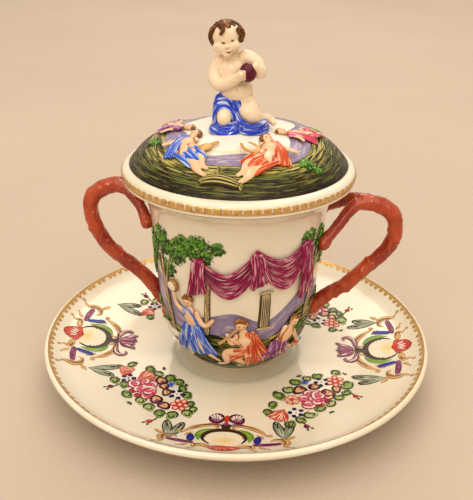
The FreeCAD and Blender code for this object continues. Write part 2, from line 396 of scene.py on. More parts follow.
class Wall:
    """A turned wall that painted shapes are laid on, measured along its slope."""

    def __init__(self, outline: np.ndarray) -> None:
        """Keeps an outline of (radius, height) rows, in the order that its length is counted.

        Args:
            outline: The outline.
        """
        self.outline = outline
        step = np.linalg.norm(np.diff(outline, axis=0), axis=1)
        self.along = np.concatenate([[0.0], np.cumsum(step)])
        slope = np.gradient(outline, self.along, axis=0)
        slope /= np.linalg.norm(slope, axis=1)[:, None]
        self.outward = np.stack([slope[:, 1], -slope[:, 0]], axis=1)
        if outline[0, 0] * self.outward[0, 0] < 0 or self.outward[len(outline) // 2, 1] < -0.7:
            self.outward *= -1

    def read(self, length: np.ndarray) -> tuple[np.ndarray, ...]:
        """The radius, height and outward direction at lengths along the slope."""
        columns = (self.outline[:, 0], self.outline[:, 1], self.outward[:, 0], self.outward[:, 1])
        return tuple(np.interp(length, self.along, column) for column in columns)

    def radius_at(self, height: float) -> float:
        """The radius at a height, where the outline rises all the way."""
        return float(np.interp(height, self.outline[:, 1], self.outline[:, 0]))

    def length_at_radius(self, radius: np.ndarray | float) -> np.ndarray | float:
        """The length along the slope at a radius, on an outline that only widens or only narrows.

        Args:
            radius: The radius, or an array of them.

        Returns:
            The length or lengths.
        """
        radii = self.outline[:, 0]
        if radii[0] < radii[-1]:
            return np.interp(radius, radii, self.along)
        return np.interp(radius, radii[::-1], self.along[::-1])

    def lay(self, angle: np.ndarray, length: np.ndarray, lift: np.ndarray) -> np.ndarray:
        """Points on the wall at angles in radians, lifted off it.

        Args:
            angle: The direction of each point about the axis.
            length: Its length along the slope.
            lift: Its distance off the wall.

        Returns:
            The points, one a row.
        """
        radius, height, out, up = self.read(length)
        reach = radius + out * lift
        return np.stack([reach * np.cos(angle), reach * np.sin(angle), height + up * lift], axis=1)


@dataclass(frozen=True)
class Patch:
    """A small frame on a wall: x runs round it to the right, y runs along its slope."""

    wall: Wall
    angle: float
    length: float = 0.0
    turn: float = 0.0
    size: float = 1.0
    mirror: bool = False

    @property
    def flips(self) -> bool:
        """Whether shapes come out turned over."""
        return self.mirror

    def place(self, x: np.ndarray, y: np.ndarray, lift: np.ndarray) -> np.ndarray:
        """The points of a shape that is drawn in this frame, at their true widths.

        Args:
            x: Its distances across.
            y: Its distances along.
            lift: Its distances off the surface.

        Returns:
            The points, one a row.
        """
        turn = math.radians(self.turn)
        x = (-x if self.mirror else x) * self.size
        y = y * self.size
        x, y = x * math.cos(turn) - y * math.sin(turn), x * math.sin(turn) + y * math.cos(turn)
        radius = np.maximum(self.wall.read(self.length + y)[0], 1.0)
        return self.wall.lay(math.radians(self.angle) + x / radius, self.length + y, lift * self.size)


@dataclass(frozen=True)
class Plan:
    """A frame seen from above: y is the distance from the axis along a centre line, x lies across it."""

    wall: Wall
    angle: float
    near: float = 0.0
    squash: float = 1.0
    shift: float = 0.0
    mirror: bool = False

    @property
    def flips(self) -> bool:
        """Whether shapes come out turned over."""
        return not self.mirror

    def place(self, x: np.ndarray, y: np.ndarray, lift: np.ndarray) -> np.ndarray:
        """The points of a shape that is drawn in this frame.

        Args:
            x: Its distances across.
            y: Its distances along.
            lift: Its distances off the surface.

        Returns:
            The points, one a row.
        """
        start = math.radians(self.angle)
        x = -x if self.mirror else x
        out = self.near + (y - self.near) * self.squash + self.shift
        east = out * math.cos(start) - x * math.sin(start)
        north = out * math.sin(start) + x * math.cos(start)
        length = self.wall.length_at_radius(np.hypot(east, north))
        return self.wall.lay(np.arctan2(north, east), length, lift)


@dataclass(frozen=True)
class Open:
    """A frame in free space: x, y and lift are the model's own coordinates."""

    flips: bool = False

    def place(self, x: np.ndarray, y: np.ndarray, lift: np.ndarray) -> np.ndarray:
        """The points of a shape that is drawn in this frame."""
        return np.stack([x, y, lift], axis=1)


def finished(bm: bmesh.types.BMesh, name: str, finishes: Sequence[Material],
             replaces: Sequence[str] = ()) -> bpy.types.Object:
    """Turns a bmesh drawn in millimetres into a piece that rides on the body.

    Args:
        bm: The mesh, which is freed.
        name: The piece's name.
        finishes: Its materials, in the order of its face numbers.
        replaces: The CAD nodes that it stands for.

    Returns:
        The piece's object.
    """
    bmesh.ops.scale(bm, vec=Vector((MM, MM, MM)), verts=bm.verts)
    mesh = bpy.data.meshes.new(name)
    bm.to_mesh(mesh)
    bm.free()
    mesh.shade_smooth()
    for finish in finishes:
        mesh.materials.append(finish)
    piece = bpy.data.objects.new(name, mesh)
    bpy.context.scene.collection.objects.link(piece)
    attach(piece, BODY)
    if replaces:
        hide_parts(*replaces)
    LOG.info("%s: %d faces", name, len(mesh.polygons))
    return piece


def turned(outline: np.ndarray, steps: int) -> bmesh.types.BMesh:
    """Spins an outline about the Z axis.

    Args:
        outline: Rows of (radius, height), from one point of the axis to another.
        steps: How many steps make the full turn.

    Returns:
        The closed mesh, in millimetres.
    """
    bm = bmesh.new()
    line = [bm.verts.new((radius, 0.0, height)) for radius, height in outline]
    edges = [bm.edges.new(pair) for pair in zip(line, line[1:])]
    bmesh.ops.spin(bm, geom=line + edges, axis=(0, 0, 1), cent=(0, 0, 0), dvec=(0, 0, 0),
                   angle=2 * math.pi, steps=steps, use_merge=True, use_duplicate=False)
    bmesh.ops.remove_doubles(bm, verts=bm.verts, dist=1e-4)
    bmesh.ops.recalc_face_normals(bm, faces=bm.faces)
    return bm


@dataclass(frozen=True)
class Paint:
    """An enamel colour with its light streaks and its outline.

    streak is how strongly the light colour shows, grain how many streaks lie across a mark, outline
    the share of the half width that the edge colour takes, and soft how gently it starts.
    """

    fill: Colour
    light: Colour
    edge: Colour
    streak: float = 0.5
    grain: float = 3.0
    outline: float = 0.0
    soft: float = 0.04


def paint(fill: int, light: int, edge: int, **settings: float) -> Paint:
    """A paint from three screen colours."""
    return Paint(tint(fill), tint(light), tint(edge), **settings)


class Hue:
    """The enamel colours of the set."""

    # On fused shapes each edge colour below also lies in creases, fold valleys and along the foot at the
    # wall: partly a painted contour, partly painted shade.
    ROSE = paint(0xCE3E66, 0xF8D2D2, 0x9E1A44, streak=0.55, grain=1.6, outline=0.12, soft=0.12)
    ROSE_DEEP = paint(0xAC1C48, 0xD9607A, 0x84122E, streak=0.4)
    CORAL = paint(0xC83C1E, 0xFBE2CA, 0xA82C14, streak=1.0, grain=4.0, outline=0.2, soft=0.1)
    RED = paint(0xC23A22, 0xE6795C, 0xA42A18, streak=0.5, outline=0.2, soft=0.1)
    BERRY = paint(0xF3C9B4, 0xF8DCC8, 0xC4412C, streak=0.3, outline=0.42, soft=0.06)
    BUD = paint(0x6E1A2E, 0x9C3448, 0x4E1020, streak=0.4)
    WHITE = paint(0xF0E6DC, 0xF6EFE6, 0xE6DBD0, streak=0.2)
    SKY_WHITE = paint(0xFAF2E4, 0xFFFAF0, 0xFAF2E4, streak=0.2)
    CREAM = paint(0xF1E2CB, 0xF4E8D6, 0xECDABF, streak=0.2)
    YELLOW = paint(0xECD088, 0xEED8A0, 0xF0E0C4, streak=0.3, outline=0.45, soft=0.5)
    COBALT = paint(0x1A268C, 0x3A4FB0, 0x101858, streak=0.4)
    NAVY = paint(0x14164E, 0x2A2C78, 0x0C0E34, streak=0.3)
    SKY = paint(0x3F5FC0, 0x9DB0E4, 0x2A3F96, streak=0.8, grain=3.0)
    PANSY = paint(0xE4A878, 0xF8DCB0, 0x4A121A, streak=0.8, grain=2.5, outline=0.4, soft=0.08)
    PLUM = paint(0x7A3058, 0xB0708E, 0x571A3A, streak=0.8, grain=3.0, outline=0.2, soft=0.1)
    ACANTHUS = paint(0x944266, 0xE8BCC4, 0x520E2C, streak=0.9, grain=3.4, outline=0.34, soft=0.1)
    PURPLE = paint(0x7E2058, 0xC07AA4, 0x4E1040, streak=0.9, grain=2.6, outline=0.2, soft=0.1)
    LEAF = paint(0x88A24A, 0xCCD498, 0x34501A, streak=0.7, grain=2.0, outline=0.1, soft=0.1)
    LEAF_DARK = paint(0x33471C, 0x54692E, 0x2A3A18, streak=0.3)
    LEAF_PALE = paint(0xB2C074, 0xE0E2B4, 0x5C742C, streak=0.6, outline=0.1, soft=0.1)
    SAGE = paint(0x8A9078, 0xC6C8AC, 0x1E2216, streak=0.9, grain=3.2, outline=0.26, soft=0.06)
    CRESCENT = paint(0x76A02C, 0xBCCC7C, 0x3C6414, streak=0.5, grain=2.0, outline=0.16, soft=0.3)
    BROWN = paint(0x3E2416, 0x5A3A20, 0x2A160C, streak=0.3)
    INK = paint(0x2C1C12, 0x44301E, 0x1C100A, streak=0.2)
    TAN = paint(0xD0A262, 0xE8C890, 0x98662C, streak=0.7, grain=2.0, outline=0.2, soft=0.15)
    BARK = paint(0xA58B62, 0xE0D0A8, 0x3E2A16, streak=0.9, grain=4.0, outline=0.24, soft=0.12)
    STONE = paint(0xC4AE84, 0xEADFC0, 0x5C4628, streak=0.8, grain=6.0, outline=0.3, soft=0.1)
    TIMBER = paint(0x8C843E, 0xD2C884, 0x2E2410, streak=0.9, grain=6.0, outline=0.26, soft=0.1)
    MAGENTA = paint(0x9A0450, 0xF4D4D4, 0x5A0632, streak=0.65, grain=4.0, outline=0.5, soft=0.3)
    LILAC = paint(0x9A8CAC, 0xC8BCC4, 0x8C7EA2, streak=0.9, grain=4.0, outline=0.3, soft=0.6)
    LAWN = paint(0x5C6A2C, 0xA5A450, 0x2E2C16, streak=0.9, grain=7.0, outline=0.2, soft=0.2)
    EARTH = paint(0x322810, 0x6E6430, 0x1C1408, streak=0.9, grain=9.0, outline=0.15, soft=0.2)
    SOIL = paint(0x241A08, 0x48381A, 0x140E04, streak=0.6)
    OLIVE = paint(0x6C682A, 0xA8A050, 0x46401A, streak=0.6)
    STRAW = paint(0xC4B668, 0xDDD08E, 0x8C7E3C, streak=0.5)
    GRASS = paint(0x5C9A2E, 0xA5CC60, 0x2E5418, streak=0.7, grain=2.0, outline=0.14, soft=0.15)
    FOREST = paint(0x35501E, 0x5C7A30, 0x1E2E10, streak=0.6)
    SEAWEED = paint(0x54715A, 0x7C9478, 0x3C5440, streak=0.6, grain=2.0)
    FLESH = paint(0xEFC6A0, 0xF7DCC0, 0xB4623E, streak=0.6, grain=0.6, outline=0.36, soft=0.22)
    LIPS = paint(0xB8402E, 0xD06A50, 0x9C3020, streak=0.2)
    HAIR = paint(0x8A5A2C, 0xC49858, 0x4C2A12, streak=0.9, grain=5.0, outline=0.2, soft=0.2)
    ORANGE = paint(0xCC4A20, 0xF3B488, 0x9A2C10, streak=1.0, grain=4.0, outline=0.25, soft=0.2)
    AZURE = paint(0x3460CC, 0xC0CEF0, 0x1E348C, streak=1.0, grain=4.0, outline=0.25, soft=0.2)
    VIOLET = paint(0x86447E, 0xD2A4C4, 0x58264E, streak=1.0, grain=4.0, outline=0.25, soft=0.2)
    FLEECE = paint(0xDCD2BE, 0xF1EADB, 0x6A5A44, streak=0.8, grain=3.0, outline=0.3, soft=0.2)
    CHILD_FLESH = paint(0xF6E0C2, 0xFAEBD6, 0xE2A880, streak=0.25, grain=0.6, outline=0.3, soft=0.6)
    CHILD_HAIR = paint(0x5A320E, 0x9A6430, 0x221004, streak=0.9, grain=4.0, outline=0.5, soft=0.3)
    CHILD_CLOTH = paint(0x003CCC, 0xDCE6FA, 0x001C78, streak=0.8, grain=2.0, outline=0.5, soft=0.3)
    BLUSH = paint(0xF4CDB2, 0xF4CDB2, 0xF6E0C2, outline=0.9, soft=0.9)
    BALL = paint(0x5E0024, 0x7A0632, 0x380012, streak=0.3)


class Taper(Enum):
    """How a brush stroke narrows to its two ends."""

    LINE = (0.12, 0.12)
    LEAF = (0.8, 0.8)
    PETAL = (0.9, 0.35)
    ROUND = (0.4, 0.4)
    SWELL = (0.5, 0.5)


def disc(sides: int, rings: int) -> bpy.types.Mesh:
    """The unit disc that round marks are drawn from.

    Args:
        sides: How many sides it has.
        rings: How many rings it has.

    Returns:
        The mesh.
    """
    bm = bmesh.new()
    bmesh.ops.create_circle(bm, cap_ends=True, segments=sides, radius=1.0)
    middle = bm.faces[:]
    for _ in range(rings - 1):
        bmesh.ops.inset_individual(bm, faces=middle, thickness=math.cos(math.pi / sides) / rings)
    bmesh.ops.poke(bm, faces=middle)
    return upright(bm, "disc")


def ribbon(steps: int, across: int) -> bpy.types.Mesh:
    """The unit grid that strokes, bands and cloths are drawn from.

    Args:
        steps: How many steps lie along it.
        across: How many steps lie across it.

    Returns:
        The mesh.
    """
    bm = bmesh.new()
    bmesh.ops.create_grid(bm, x_segments=steps, y_segments=across, size=1.0)
    return upright(bm, "ribbon")


def upright(bm: bmesh.types.BMesh, name: str) -> bpy.types.Mesh:
    """Turns a flat bmesh face up and makes a mesh of it.

    Args:
        bm: The bmesh, which is freed.
        name: The mesh's name.

    Returns:
        The mesh.
    """
    bm.normal_update()
    low = [face for face in bm.faces if face.normal.z < 0]
    bmesh.ops.reverse_faces(bm, faces=low)
    mesh = bpy.data.meshes.new(name)
    bm.to_mesh(mesh)
    bm.free()
    return mesh


def corners(mesh: bpy.types.Mesh) -> np.ndarray:
    """The places of a mesh's vertices, one a row.

    Args:
        mesh: The mesh.

    Returns:
        The places.
    """
    values = np.empty(len(mesh.vertices) * 3, np.float32)
    mesh.vertices.foreach_get("co", values)
    return values.reshape(-1, 3).astype(float)


@dataclass
class Mark:
    """One painted shape: its mesh and where each vertex lies and how it is painted."""

    mesh: bpy.types.Mesh
    spots: np.ndarray
    brush: np.ndarray
    rim: np.ndarray
    paint: Paint


class Painter:
    """Collects the painted and raised shapes of one ornament in one mesh."""

    stencils: dict[tuple[str, int, int], bpy.types.Mesh] = {}
    enamel: Material
    lowest: float = 0.045
    coat: float = 0.05
    stagger: float = 0.004
    cycle: int = 11
    samples: int = 41

    def __init__(self, patch: Patch | Plan | Open, seed: int = 1) -> None:
        """Starts on a patch, with its own seeded chance.

        Args:
            patch: The frame that it draws in.
            seed: The seed of its chance.
        """
        self.patch = patch
        self.marks: list[Mark] = []
        self.chance = random.Random(seed)

    def on(self, patch: Patch | Plan | Open) -> "Painter":
        """Goes on in another patch."""
        self.patch = patch
        return self

    def stencil(self, kind: str, first: int, second: int) -> tuple[bpy.types.Mesh, np.ndarray]:
        """A unit shape and its corners, turned over where the patch is a mirrored one.

        Args:
            kind: disc or ribbon.
            first: The disc's sides, or the ribbon's steps.
            second: The disc's rings, or the steps across the ribbon.

        Returns:
            The shape's mesh and its corners.
        """
        key = (kind, first, second)
        if key not in self.stencils:
            self.stencils[key] = disc(first, second) if kind == "disc" else ribbon(first, second)
        unit = corners(self.stencils[key])
        unit[:, 0] *= -1 if self.patch.flips else 1
        return self.stencils[key], unit

    def level(self, layer: float) -> float:
        """The height of a mark's edge, a little different for marks that may overlap."""
        return self.lowest + self.coat * layer + self.stagger * (len(self.marks) % self.cycle)

    def add(self, mesh: bpy.types.Mesh, place: Sequence[np.ndarray], brush: Sequence[np.ndarray],
            rim: np.ndarray, paint: Paint) -> None:
        """Adds a mark that is given by its x, y and lift and by its brush directions.

        Args:
            mesh: Its mesh.
            place: Its x, y and lift in the patch.
            brush: Its brush directions.
            rim: How near each vertex lies to its rim, from 0 to 1.
            paint: Its paint.
        """
        seed = self.chance.uniform(0, 50)
        strokes = np.stack([brush[0] + seed, brush[1] + seed * 0.7, brush[2]], axis=1)
        self.marks.append(Mark(mesh, self.patch.place(*place), strokes, rim, paint))

    def blob(self, x: float, y: float, wide: float, high: float, paint: Paint, turn: float = 0.0,
             bulge: float = 0.1, lobes: int = 0, depth: float = 0.0, sides: int = 14, rings: int = 2,
             layer: float = 0.0) -> None:
        """Paints a round mark.

        Args:
            x: Its middle across.
            y: Its middle up.
            wide: Half its width.
            high: Half its height.
            paint: Its paint.
            turn: Its turn in degrees.
            bulge: How far its middle stands up.
            lobes: How many lobes its outline has.
            depth: How deep the lobes are, as a share of its size.
            sides: How many sides its mesh has.
            rings: How many rings its mesh has.
            layer: The coat that it belongs to.
        """
        mesh, unit = self.stencil("disc", sides, rings)
        share = np.hypot(unit[:, 0], unit[:, 1])
        angle = np.arctan2(unit[:, 1], unit[:, 0])
        reach = 1 - depth * (0.5 - 0.5 * np.cos(lobes * angle)) if lobes else 1 + 0 * angle
        start = self.chance.uniform(0, 6)
        reach = reach * (1 + 0.04 * np.sin(2 * angle + start) + 0.03 * np.sin(3 * angle + 2 * start))
        across, up = unit[:, 0] * reach * wide, unit[:, 1] * reach * high
        tilt = math.radians(turn)
        place_x = x + across * math.cos(tilt) - up * math.sin(tilt)
        place_y = y + across * math.sin(tilt) + up * math.cos(tilt)
        lift = self.level(layer) + bulge * (1 - share**2)
        brush = (share, np.cos(angle) * paint.grain, np.sin(angle) * paint.grain)
        self.add(mesh, (place_x, place_y, lift), brush, share, paint)

    def stroke(self, points: Sequence[Point], width: float | Sequence[float], paint: Paint,
               taper: Taper = Taper.SWELL, bulge: float = 0.08, steps: int = 10, across: int = 2,
               layer: float = 0.0) -> None:
        """Paints a brush stroke.

        Args:
            points: Points (x, y) that its middle line goes through.
            width: Half its width, or a list of half widths from its start to its end.
            paint: Its paint.
            taper: How its ends narrow.
            bulge: How far its middle stands up.
            steps: How many steps its mesh has along it.
            across: How many steps its mesh has across it.
            layer: The coat that it belongs to.
        """
        mesh, unit = self.stencil("ribbon", steps, across)
        path = spline([point[:2] for point in points], self.samples)
        along = (unit[:, 0] + 1) / 2
        at = along * (self.samples - 1)
        middle = np.stack([np.interp(at, range(self.samples), path[:, k]) for k in (0, 1)], axis=1)
        heading = np.gradient(path, axis=0)
        heading /= np.linalg.norm(heading, axis=1)[:, None] + 1e-9
        ahead = np.stack([np.interp(at, range(self.samples), heading[:, k]) for k in (0, 1)], axis=1)
        ahead /= np.linalg.norm(ahead, axis=1)[:, None] + 1e-9
        widths = np.atleast_1d(np.array(width, float))
        half = np.interp(along, np.linspace(0, 1, len(widths)), widths)
        first, last = taper.value
        shape = along**first * (1 - along) ** last
        peak = first / (first + last)
        shape /= peak**first * (1 - peak) ** last
        side = unit[:, 1]
        offset = side * half * shape
        long = float(np.linalg.norm(np.diff(path, axis=0), axis=1).sum())
        thick = max(float(widths.max()), 0.05)
        ends = np.maximum(1 - along * long / thick, 1 - (1 - along) * long / thick)
        rim = np.clip(np.maximum(np.abs(side), ends), 0, 1)
        lift = self.level(layer) + bulge * (1 - side**2) * np.minimum(shape, 1)
        brush = (along * long * 0.12, side * paint.grain * 0.5, 0 * along)
        place_x = middle[:, 0] - ahead[:, 1] * offset
        place_y = middle[:, 1] + ahead[:, 0] * offset
        self.add(mesh, (place_x, place_y, lift), brush, rim, paint)

    def band(self, low: Callable[[np.ndarray], np.ndarray], high: Callable[[np.ndarray], np.ndarray],
             paint: Paint, steps: int = 360, across: int = 8, lift: float = 0.05) -> None:
        """Paints a band all round a wall, between two lengths that may change with the angle.

        Args:
            low: The lower edge, as a length for each angle.
            high: The upper edge, likewise.
            paint: Its paint.
            steps: How many steps make the full turn.
            across: How many steps lie across it.
            lift: How far it lies off the wall.
        """
        mesh, unit = self.stencil("ribbon", steps, across)
        wall = self.patch.wall
        angle = (unit[:, 0] + 1) * math.pi
        share = (unit[:, 1] + 1) / 2
        length = low(angle) * (1 - share) + high(angle) * share
        radius = wall.read(length)[0]
        spots = wall.lay(angle, length, np.full_like(angle, lift))
        columns = [np.cos(angle) * radius * 0.16, np.sin(angle) * radius * 0.16, share * paint.grain]
        strokes = np.stack(columns, axis=1)
        rim = np.clip(np.abs(2 * share - 1), 0, 1)
        self.marks.append(Mark(mesh, spots, strokes, rim, paint))

    def model(self, clay: "Clay", paint: Paint, voxel: float = 0.3, smooth: int = 4,
              flat: float = 1.0) -> "Solid":
        """Adds a raised shape of fused clay.

        Args:
            clay: The clay, in the patch's x, y and lift.
            paint: Its paint.
            voxel: The size of the cells that it is fused on.
            smooth: How often it is smoothed.
            flat: How much its lift is kept.

        Returns:
            The fused shape, for marks that lie on it.
        """
        solid = clay.fuse(voxel, smooth)
        place = corners(solid.mesh)
        lift = place[:, 2] * flat
        # The edge colour goes into the creases between parts and the valleys between folds, and along the
        # foot where a raised shape meets the wall: a painted contour there, and painted shade too.
        crease, along = clay.trace(place)
        if not isinstance(self.patch, Open):
            crease = np.maximum(crease, np.clip(1 - lift / 0.5, 0, 1))
        if self.patch.flips:
            solid.mesh.flip_normals()
        brush = (along[:, 0], along[:, 1] * paint.grain * 0.3, along[:, 2] * paint.grain * 0.3)
        self.add(solid.mesh, (place[:, 0], place[:, 1], lift), brush, crease, paint)
        return solid

    def decal(self, solid: "Solid", middle: Point, wide: float, high: float, paint: Paint,
              right: Point = (1, 0, 0), up: Point = (0, 1, 0), into: Point = (0, 0, -1),
              flat: float = 1.0, raised: float = 0.03) -> None:
        """Paints a small round mark on a raised shape, seen along one direction.

        Args:
            solid: The shape.
            middle: The middle of the mark, anywhere along the line of sight.
            wide: Half its width.
            high: Half its height.
            paint: Its paint.
            right: The direction of its width.
            up: The direction of its height.
            into: The line of sight.
            flat: How much of the shape's lift was kept.
            raised: How far the mark stands off the shape.
        """
        mesh, unit = self.stencil("disc", 12, 2)
        sight = Vector(into).normalized()
        spots = []
        for across, over, _ in unit:
            start = Vector(middle) + Vector(right) * across * wide + Vector(up) * over * high
            hit, normal, _, _ = solid.tree.ray_cast(start - sight * 20, sight)
            spots.append(hit + normal * raised if hit else start)
        spots = np.array(spots)
        share = np.hypot(unit[:, 0], unit[:, 1])
        place = (spots[:, 0], spots[:, 1], spots[:, 2] * flat)
        self.add(mesh, place, (share, unit[:, 0], unit[:, 1]), share, paint)

    def piece(self, name: str, slot: Slot = Slot.PAINT, finish: Optional[Material] = None) -> None:
        """Makes one piece of all the marks.

        Args:
            name: The piece's name.
            slot: A material slot; not used.
            finish: Its material, or the painted enamel.
        """
        bm = bmesh.new()
        for mark in self.marks:
            bm.from_mesh(mark.mesh)
        mesh = bpy.data.meshes.new(name)
        bm.to_mesh(mesh)
        bm.free()
        spots = np.concatenate([mark.spots for mark in self.marks]).astype(np.float32)
        mesh.vertices.foreach_set("co", spots.ravel())
        counts = [len(mark.spots) for mark in self.marks]
        columns = {
            "fill": [(*mark.paint.fill, mark.paint.soft) for mark in self.marks],
            "light": [(*mark.paint.light, mark.paint.streak) for mark in self.marks],
            "edge": [(*mark.paint.edge, mark.paint.outline) for mark in self.marks],
        }
        for key, rows in columns.items():
            values = np.repeat(np.array(rows, np.float32), counts, axis=0)
            mesh.attributes.new(key, "FLOAT_COLOR", "POINT").data.foreach_set("color", values.ravel())
        brush = np.concatenate([mark.brush for mark in self.marks]).astype(np.float32)
        mesh.attributes.new("brush", "FLOAT_VECTOR", "POINT").data.foreach_set("vector", brush.ravel())
        rim = np.concatenate([mark.rim for mark in self.marks]).astype(np.float32)
        mesh.attributes.new("rim", "FLOAT", "POINT").data.foreach_set("value", rim)
        bm = bmesh.new()
        bm.from_mesh(mesh)
        bpy.data.meshes.remove(mesh)
        bmesh.ops.remove_doubles(bm, verts=bm.verts, dist=1e-5)
        finished(bm, name, [finish or self.enamel])


@dataclass
class Solid:
    """A fused shape and the tree that finds places on it."""

    mesh: bpy.types.Mesh
    tree: BVHTree


class Clay:
    """Soft clay that is built up from balls and rolls, then fused and smoothed."""

    spacing: float = 0.7
    cap: int = 3
    thinnest: float = 0.05
    crease: float = 0.45
    far: float = 99.0

    def __init__(self) -> None:
        """Starts with no clay."""
        self.bm = bmesh.new()
        self.balls: list[tuple[Point, Point]] = []
        self.rolls: list[np.ndarray] = []

    def ball(self, centre: Point, radii: float | Point, turn: Point = (0, 0, 0)) -> "Clay":
        """Adds a ball or an egg.

        Args:
            centre: Its middle.
            radii: Its radius, or its three half sizes.
            turn: Its turn in degrees about X, Y and Z.

        Returns:
            The clay.
        """
        sizes = (radii, radii, radii) if isinstance(radii, (int, float)) else radii
        self.balls.append((centre, sizes))
        angles = Euler([math.radians(angle) for angle in turn])
        matrix = Matrix.LocRotScale(Vector(centre), angles, Vector(sizes))
        bmesh.ops.create_icosphere(self.bm, subdivisions=3, radius=1.0, matrix=matrix)
        return self

    def roll(self, stations: Sequence[Point], around: int = 12) -> "Clay":
        """Adds a roll through stations (x, y, z, radius), with rounded ends.

        Args:
            stations: Where the middle line goes and how thick the roll is there.
            around: How many sides it has.

        Returns:
            The clay.
        """
        length = sum((Vector(b[:3]) - Vector(a[:3])).length for a, b in zip(stations, stations[1:]))
        steps = max(6, int(length / self.spacing))
        path = spline(stations, steps + 1)
        self.rolls.append(path)
        heading = np.gradient(path[:, :3], axis=0)
        heading /= np.linalg.norm(heading, axis=1)[:, None] + 1e-9
        cap = self.cap
        made = bmesh.ops.create_grid(self.bm, x_segments=around, y_segments=steps + 2 * cap, size=1.0)
        side = Vector((0.31, 0.17, 0.93))
        for vert in made["verts"]:
            angle = (vert.co.x + 1) * math.pi
            row = (vert.co.y + 1) / 2 * (steps + 2 * cap) - cap
            index = int(round(min(max(row, 0), steps)))
            past = max(-row, row - steps, 0) / cap
            centre, ahead = Vector(path[index, :3]), Vector(heading[index])
            radius = max(float(path[index, 3]), self.thinnest)
            first = ahead.cross(side).normalized()
            second = ahead.cross(first)
            out = ahead * math.copysign(math.sin(past * math.pi / 2) * radius, row)
            ring = math.cos(past * math.pi / 2) * radius
            vert.co = centre + out + (first * math.cos(angle) + second * math.sin(angle)) * ring
        bmesh.ops.remove_doubles(self.bm, verts=made["verts"], dist=1e-4)
        return self

    def trace(self, points: np.ndarray) -> tuple[np.ndarray, np.ndarray]:
        """Where points on the fused skin lie among the parts.

        Args:
            points: The points, one a row.

        Returns:
            How near each point is to a crease between parts, from 0 to 1, and its place along its part.
        """
        gaps, places = [np.full(len(points), self.far)], [points * 0.3]
        for centre, sizes in self.balls:
            gap = (np.linalg.norm((points - centre) / np.array(sizes), axis=1) - 1) * min(sizes) + 0.3
            gaps[0] = np.minimum(gaps[0], gap)
        for index, path in enumerate(self.rolls):
            apart = np.linalg.norm(points[:, None] - path[None, :, :3], axis=2) - path[None, :, 3]
            near = apart.argmin(axis=1)
            gaps.append(apart[np.arange(len(points)), near] + 0.02 * index)
            heading = np.gradient(path[:, :3], axis=0)
            spacing = np.linalg.norm(heading, axis=1)
            heading /= spacing[:, None]
            off = points - path[near, :3]
            slide = np.sum(off * heading[near], axis=1)
            off = (off - slide[:, None] * heading[near]) / path[near, 3:]
            along = (near + slide / spacing[near]) * 0.08 + 5.3 * index
            places.append(np.stack([along, off[:, 0] + off[:, 1], off[:, 2] - off[:, 1]], axis=1))
        ranks = np.argsort(gaps, axis=0)
        rows = np.arange(len(points))
        second = np.array(gaps)[ranks[1], rows] if self.rolls else gaps[0] + self.far
        return np.clip(1 - second / self.crease, 0, 1), np.array(places)[ranks[0], rows]

    def fuse(self, voxel: float, smooth: int) -> Solid:
        """Fuses the clay to one skin.

        Args:
            voxel: The size of the cells that it is fused on.
            smooth: How often it is smoothed.

        Returns:
            The fused shape.
        """
        bmesh.ops.recalc_face_normals(self.bm, faces=self.bm.faces)
        mesh = bpy.data.meshes.new("clay")
        self.bm.to_mesh(mesh)
        self.bm.free()
        lump = bpy.data.objects.new("clay", mesh)
        bpy.context.scene.collection.objects.link(lump)
        remesh = lump.modifiers.new("fuse", "REMESH")
        remesh.mode = "VOXEL"
        remesh.voxel_size = voxel
        soften = lump.modifiers.new("soften", "SMOOTH")
        soften.iterations = smooth
        ready = lump.evaluated_get(bpy.context.evaluated_depsgraph_get())
        skin = bpy.data.meshes.new_from_object(ready)
        bpy.data.objects.remove(lump)
        bpy.data.meshes.remove(mesh)
        bm = bmesh.new()
        bm.from_mesh(skin)
        tree = BVHTree.FromBMesh(bm)
        bm.free()
        return Solid(skin, tree)


